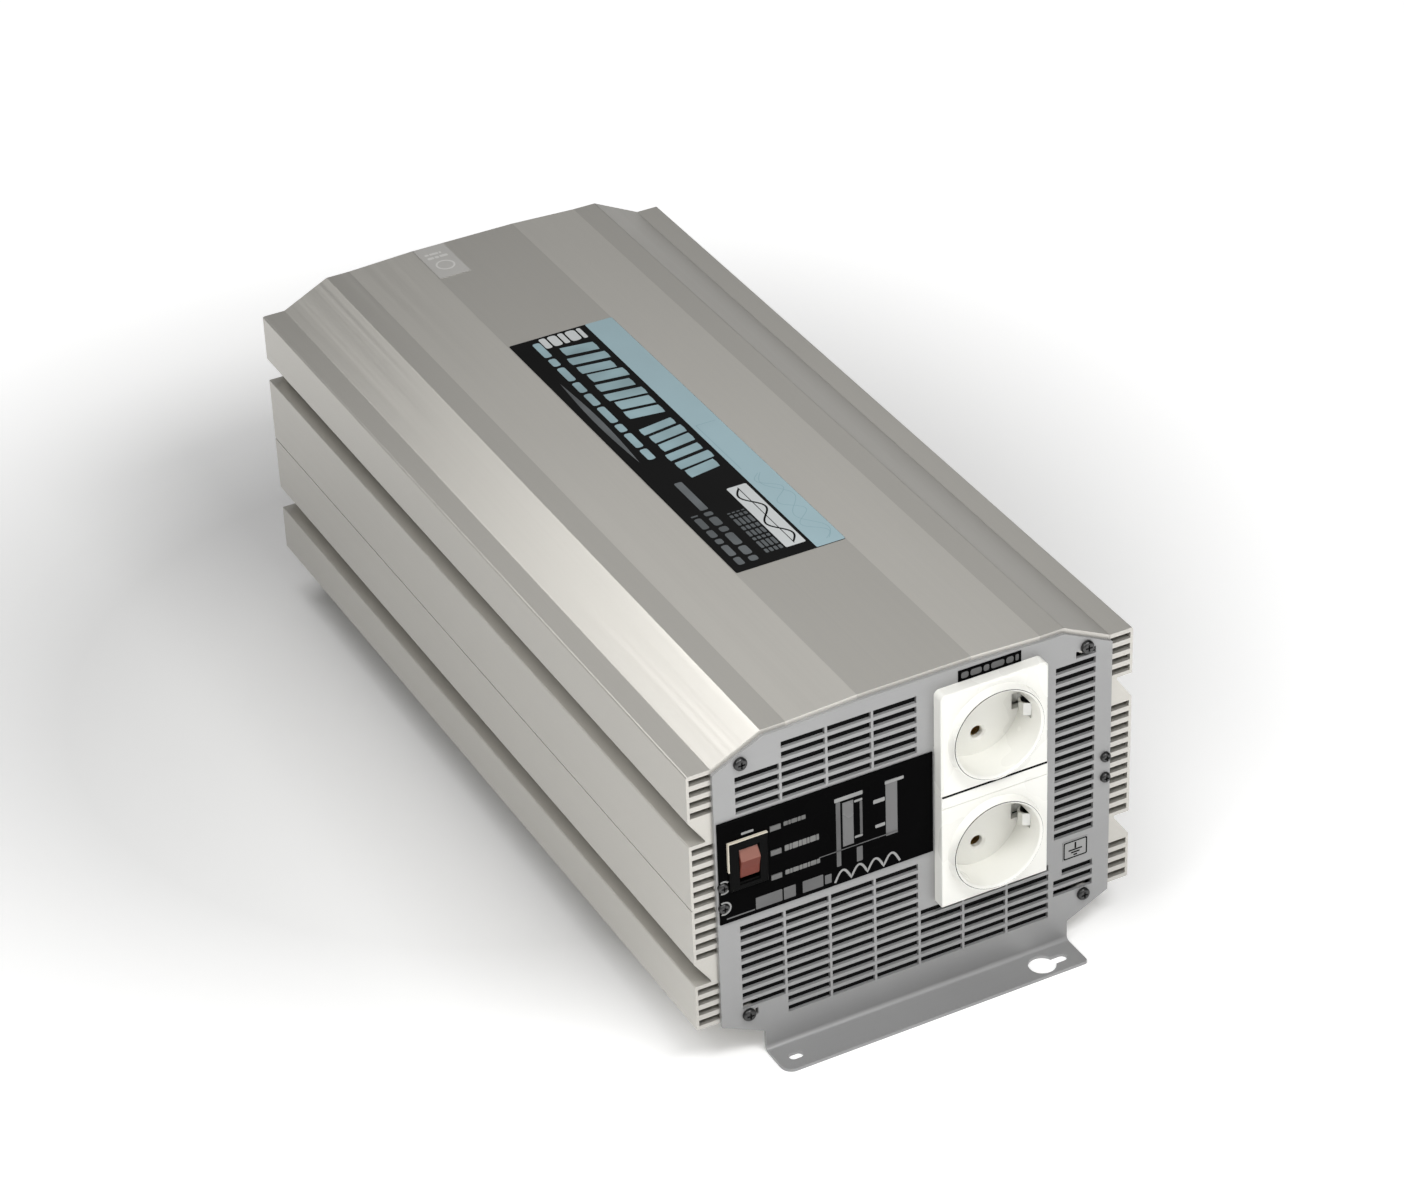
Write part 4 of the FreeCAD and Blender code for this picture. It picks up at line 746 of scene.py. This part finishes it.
def make_roof_label():
    """Printed film: black field, pale blue stripe and generic bars, with no lettering."""
    low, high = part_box("top_label")
    film = Place((low.x, low.y, low.z), (1, 0, 0), (0, 1, 0))
    wide = (high.x - low.x) / MM
    long = (high.y - low.y) / MM
    bm = bmesh.new()
    add_plate(bm, rounded(0.0, wide, 0.0, long, 0.8), film, 0.0, FILM_T)
    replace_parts(new_piece("roof_label_film", bm, "label_black"), "top_label")

    stripe = [rounded(37.9, wide - 0.1, 0.1, long - 0.1, 0.7)]
    print_marks("roof_label_stripe", stripe, film, "label_blue", FILM_T)
    bars = leaning_bars(129.5, 203.0, 9.1, 2.2, 0.3) + leaning_bars(77.5, 127.0, 8.2, -2.4, 1.4)
    column = swapped(dashes(97.0, 212.0, 9.4, 13.1, (9.5, 13.0, 7.0, 15.0, 11.0), 2.0))
    print_marks("roof_label_bars", bars + column, film, "label_blue_dim", FILM_T)

    small = swapped(dashes(4.5, 47.5, 3.6, 6.8, (6.0, 9.0, 4.0), 1.6))
    small += swapped(dashes(4.5, 47.5, 9.4, 13.3, (4.0, 7.0, 10.0), 1.6))
    for k in range(4):
        small += swapped(dashes(7.0, 42.0, 17.9 + 2.2 * k, 19.4 + 2.2 * k, (3.0, 5.5, 2.2, 4.4), 1.2))
    grey = [slim_leaf(), rounded(9.6, 13.3, 49.5, 74.5, 0.8)] + small
    print_marks("roof_label_grey", grey, film, "print_label_grey", FILM_T)

    blobs = dashes(13.7, 34.6, 205.2, 214.6, (3.2, 4.4, 2.6, 5.0), 0.9)
    panel = [rounded(26.9, 36.3, 6.5, 59.5, 0.8)]
    print_marks("roof_label_white", blobs + panel, film, "print_white", FILM_T)
    sine = swapped([ribbon(wave(9.0, 57.0, 31.6, 3.2, 2.0), 0.9)])
    sine.append(rounded(31.35, 31.75, 8.0, 58.0, 0.15))
    print_marks("roof_label_sine", sine, film, "dark_print_seam_and_shadow", FILM_T + PRINT_T, LINE_T)
    ripples = swapped([ribbon(wave(4.0, 64.0, 44.6 + shift, 4.0, turns), 0.28)
                       for shift, turns in ((0.0, 3.0), (1.2, 2.0))])
    ripples += [rounded(39.8, 40.1, 70.0, 112.0, 0.1), rounded(39.8, 49.6, 111.7, 112.0, 0.1)]
    print_marks("roof_label_ripples", ripples, film, "label_line", FILM_T + PRINT_T, LINE_T)


def make_seal_print():
    """Faint circle and bars on the seal over the rear seam."""
    seal = place_on("seal_sticker", "roof")
    bm = bmesh.new()
    add_frame(bm, disc(7.7, 11.0, 4.6), disc(7.7, 11.0, 3.7), seal, 0.0, GAP_T)
    rows = dashes(2.6, 13.0, 18.6, 20.6, (3.2, 2.0, 4.0)) + dashes(2.6, 11.0, 22.4, 24.0, (2.0, 4.4, 1.4))
    for outline in rows:
        add_plate(bm, outline, seal, 0.0, GAP_T)
    new_piece("seal_print", bm, "seal_pale")


# ---------------------------------------------------------------- rear end
def add_thread(bm, place, radius, pitch, low, high, steps=24):
    """Rod with a screw thread and chamfered ends."""
    depth = THREAD_DEPTH * pitch
    count = int((high - low) / pitch * THREAD_ROWS)
    rows = [[bm.verts.new(place.at(0, 0, low))]]
    for k in range(count + 1):
        height = low + (high - low) * k / count
        end = min(height - low, high - height)
        row = []
        for n in range(steps):
            phase = (height / pitch - n / steps) % 1.0
            cut = depth * abs(2 * phase - 1)
            reach = min(radius - cut, radius - depth + end)
            angle = 2 * math.pi * n / steps
            row.append(bm.verts.new(place.at(reach * math.cos(angle), reach * math.sin(angle), height)))
        rows.append(row)
    rows.append([bm.verts.new(place.at(0, 0, high))])
    bridge(bm, rows)


def make_studs():
    """Threaded terminal studs with their hexagon heads, and the chassis earth stud."""
    stud_low, stud_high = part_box("terminal_studs")
    length = (stud_high.y - stud_low.y) / MM
    bm = bmesh.new()
    for name in ("positive", "negative"):
        low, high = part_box(name + "_terminal_bush")
        middle = (low + high) / 2
        inner = Place((middle.x, stud_low.y, middle.z), (-1, 0, 0), (0, 0, 1))
        add_plate(bm, disc(0, 0, STUD_HEAD / math.sqrt(3), 6), inner, 0.0, STUD_HEAD_T)
        add_thread(bm, inner, STUD_R, STUD_PITCH, STUD_HEAD_T, length)
    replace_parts(new_piece("threaded_studs", bm, "brass", smooth=True), "terminal_studs")
    low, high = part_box("chassis_earth_stud")
    middle = (low + high) / 2
    inner = Place((middle.x, low.y, middle.z), (-1, 0, 0), (0, 0, 1))
    bm = bmesh.new()
    inset, edge = EARTH_HEAD_EDGE
    head = [(0, 0), (EARTH_HEAD_R - inset, 0), (EARTH_HEAD_R, edge), (EARTH_HEAD_R, EARTH_HEAD_T),
            (0, EARTH_HEAD_T)]
    add_turned(bm, head, inner)
    add_thread(bm, inner, EARTH_STUD_R, EARTH_STUD_PITCH, EARTH_HEAD_T, (high.y - low.y) / MM)
    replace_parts(new_piece("threaded_earth_stud", bm, "brass", smooth=True), "chassis_earth_stud")


def make_rear_marks():
    """Plus and minus over the terminals, printed on the rear plate."""
    plate_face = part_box("terminal_washers")[0].y
    bar = [rounded(-3.0, 3.0, -0.8, 0.8, 0.2)]
    plus = bar + [rounded(-0.8, 0.8, 0.8, 3.0, 0.2), rounded(-0.8, 0.8, -3.0, -0.8, 0.2)]
    for name, node, outlines in (("plus_mark", "positive_terminal_bush", plus),
                                 ("minus_mark", "negative_terminal_bush", bar)):
        low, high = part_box(node)
        centre = Place(((low.x + high.x) / 2, plate_face, high.z + MARK_UP * MM), (-1, 0, 0), (0, 0, 1))
        print_marks(name, outlines, centre, "dark_print_seam_and_shadow")


def make_port_contacts():
    """Sprung contact wires inside the remote jack."""
    low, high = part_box("remote_port")
    mouth = Place(((low.x + high.x) / 2, high.y, (low.z + high.z) / 2), (-1, 0, 0), (0, 0, 1))
    wire = ribbon(CONTACT_LINE, CONTACT_T)
    bm = bmesh.new()
    for k in range(CONTACTS):
        a = (k - (CONTACTS - 1) / 2) * CONTACT_PITCH
        side = Place(mouth.at(a - CONTACT_T / 2, 0, 0), mouth.out, mouth.up)
        add_plate(bm, wire, side, 0.0, CONTACT_T)
    new_piece("remote_port_contacts", bm, "brass")


# ---------------------------------------------------------------- fans
def add_blade(bm, hub, turn, inner_r, outer_r):
    """Swept, twisted and cambered blade about the hub axis."""
    grid = []
    for step in range(BLADE_STEPS + 1):
        share = step / BLADE_STEPS
        radius = inner_r + (outer_r - inner_r) * share
        pitch = math.radians(BLADE_PITCH - BLADE_UNTWIST * share)
        chord = BLADE_CHORD + BLADE_WIDEN * share
        sweep = turn + BLADE_SWEEP * share ** 1.5
        loop = []
        for k in range(2 * CHORD_STEPS):
            upper = k < CHORD_STEPS
            along = k / CHORD_STEPS if upper else 2 - k / CHORD_STEPS
            q = chord * (along - 0.5)
            body = 4 * along * (1 - along)
            half_thick = BLADE_HALF_T * (0.25 + 0.75 * body)
            lift = BLADE_CAMBER * body + (half_thick if upper else -half_thick)
            tangential = q * math.cos(pitch) - lift * math.sin(pitch)
            axial = q * math.sin(pitch) + lift * math.cos(pitch)
            angle = sweep + tangential / radius
            loop.append(bm.verts.new(hub.at(radius * math.cos(angle), radius * math.sin(angle), axial)))
        grid.append(loop)
    bridge(bm, grid)
    bm.faces.new(grid[0])
    bm.faces.new(grid[-1])


def make_fan(side):
    """Rotor with a domed cup hub and seven blades, and the round label on the hub."""
    node = "fan_" + side + "_rotor"
    body = "fan_" + side
    low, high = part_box(node)
    frame_low, frame_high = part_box("fan_" + side + "_frame")
    centre = (frame_low + frame_high) / 2
    depth = (high.y - low.y) / MM
    hub = Place((centre.x, low.y, centre.z), (-1, 0, 0), (0, 0, 1))
    floor = depth - 2.4
    face = depth - 0.4
    cup = [(0, floor), (HUB_R - HUB_WALL, floor), (HUB_R - HUB_WALL, 0.6), (HUB_R, 0.6),
           (HUB_R, depth - 1.6), (HUB_R - 0.5, depth - 0.6), (HUB_R - 1.6, depth - 0.1),
           (HUB_R - 4.0, depth - 0.1), (HUB_R - 4.3, face), (0, face)]
    shaft = [(0, 0), (SHAFT_R, 0), (SHAFT_R, floor), (0, floor)]
    bm = bmesh.new()
    add_turned(bm, cup, hub)
    add_turned(bm, shaft, hub, steps=24)
    middle = Place(hub.at(0, 0, depth / 2 + 0.3), hub.right, hub.up)
    for k in range(BLADES):
        add_blade(bm, middle, 2 * math.pi * k / BLADES, HUB_R - 0.5, BLADE_TIP_R)
    impeller = new_piece("fan_" + side + "_impeller", bm, "fan_black", body, smooth=True)
    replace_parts(impeller, node)
    bm = bmesh.new()
    add_plate(bm, disc(0, 0, HUB_R - 4.6), hub, face, depth - 0.3)
    add_frame(bm, disc(0, 0, HUB_R - 5.2), disc(0, 0, HUB_R - 5.8), hub, depth - 0.3, depth - 0.26)
    new_piece("fan_" + side + "_hub_label", bm, "hub_silver", body)


make_camera()
make_floor()
make_light()
dress_nodes()
make_panel_print()
make_bezel_painted_highlight()
make_rocker()
make_notch_rims()
make_outlet_details()
make_small_labels()
make_roof_label()
make_seal_print()
make_studs()
make_rear_marks()
for side in ("left", "right"):
    make_fan(side)
make_port_contacts()
make_dust_filter()
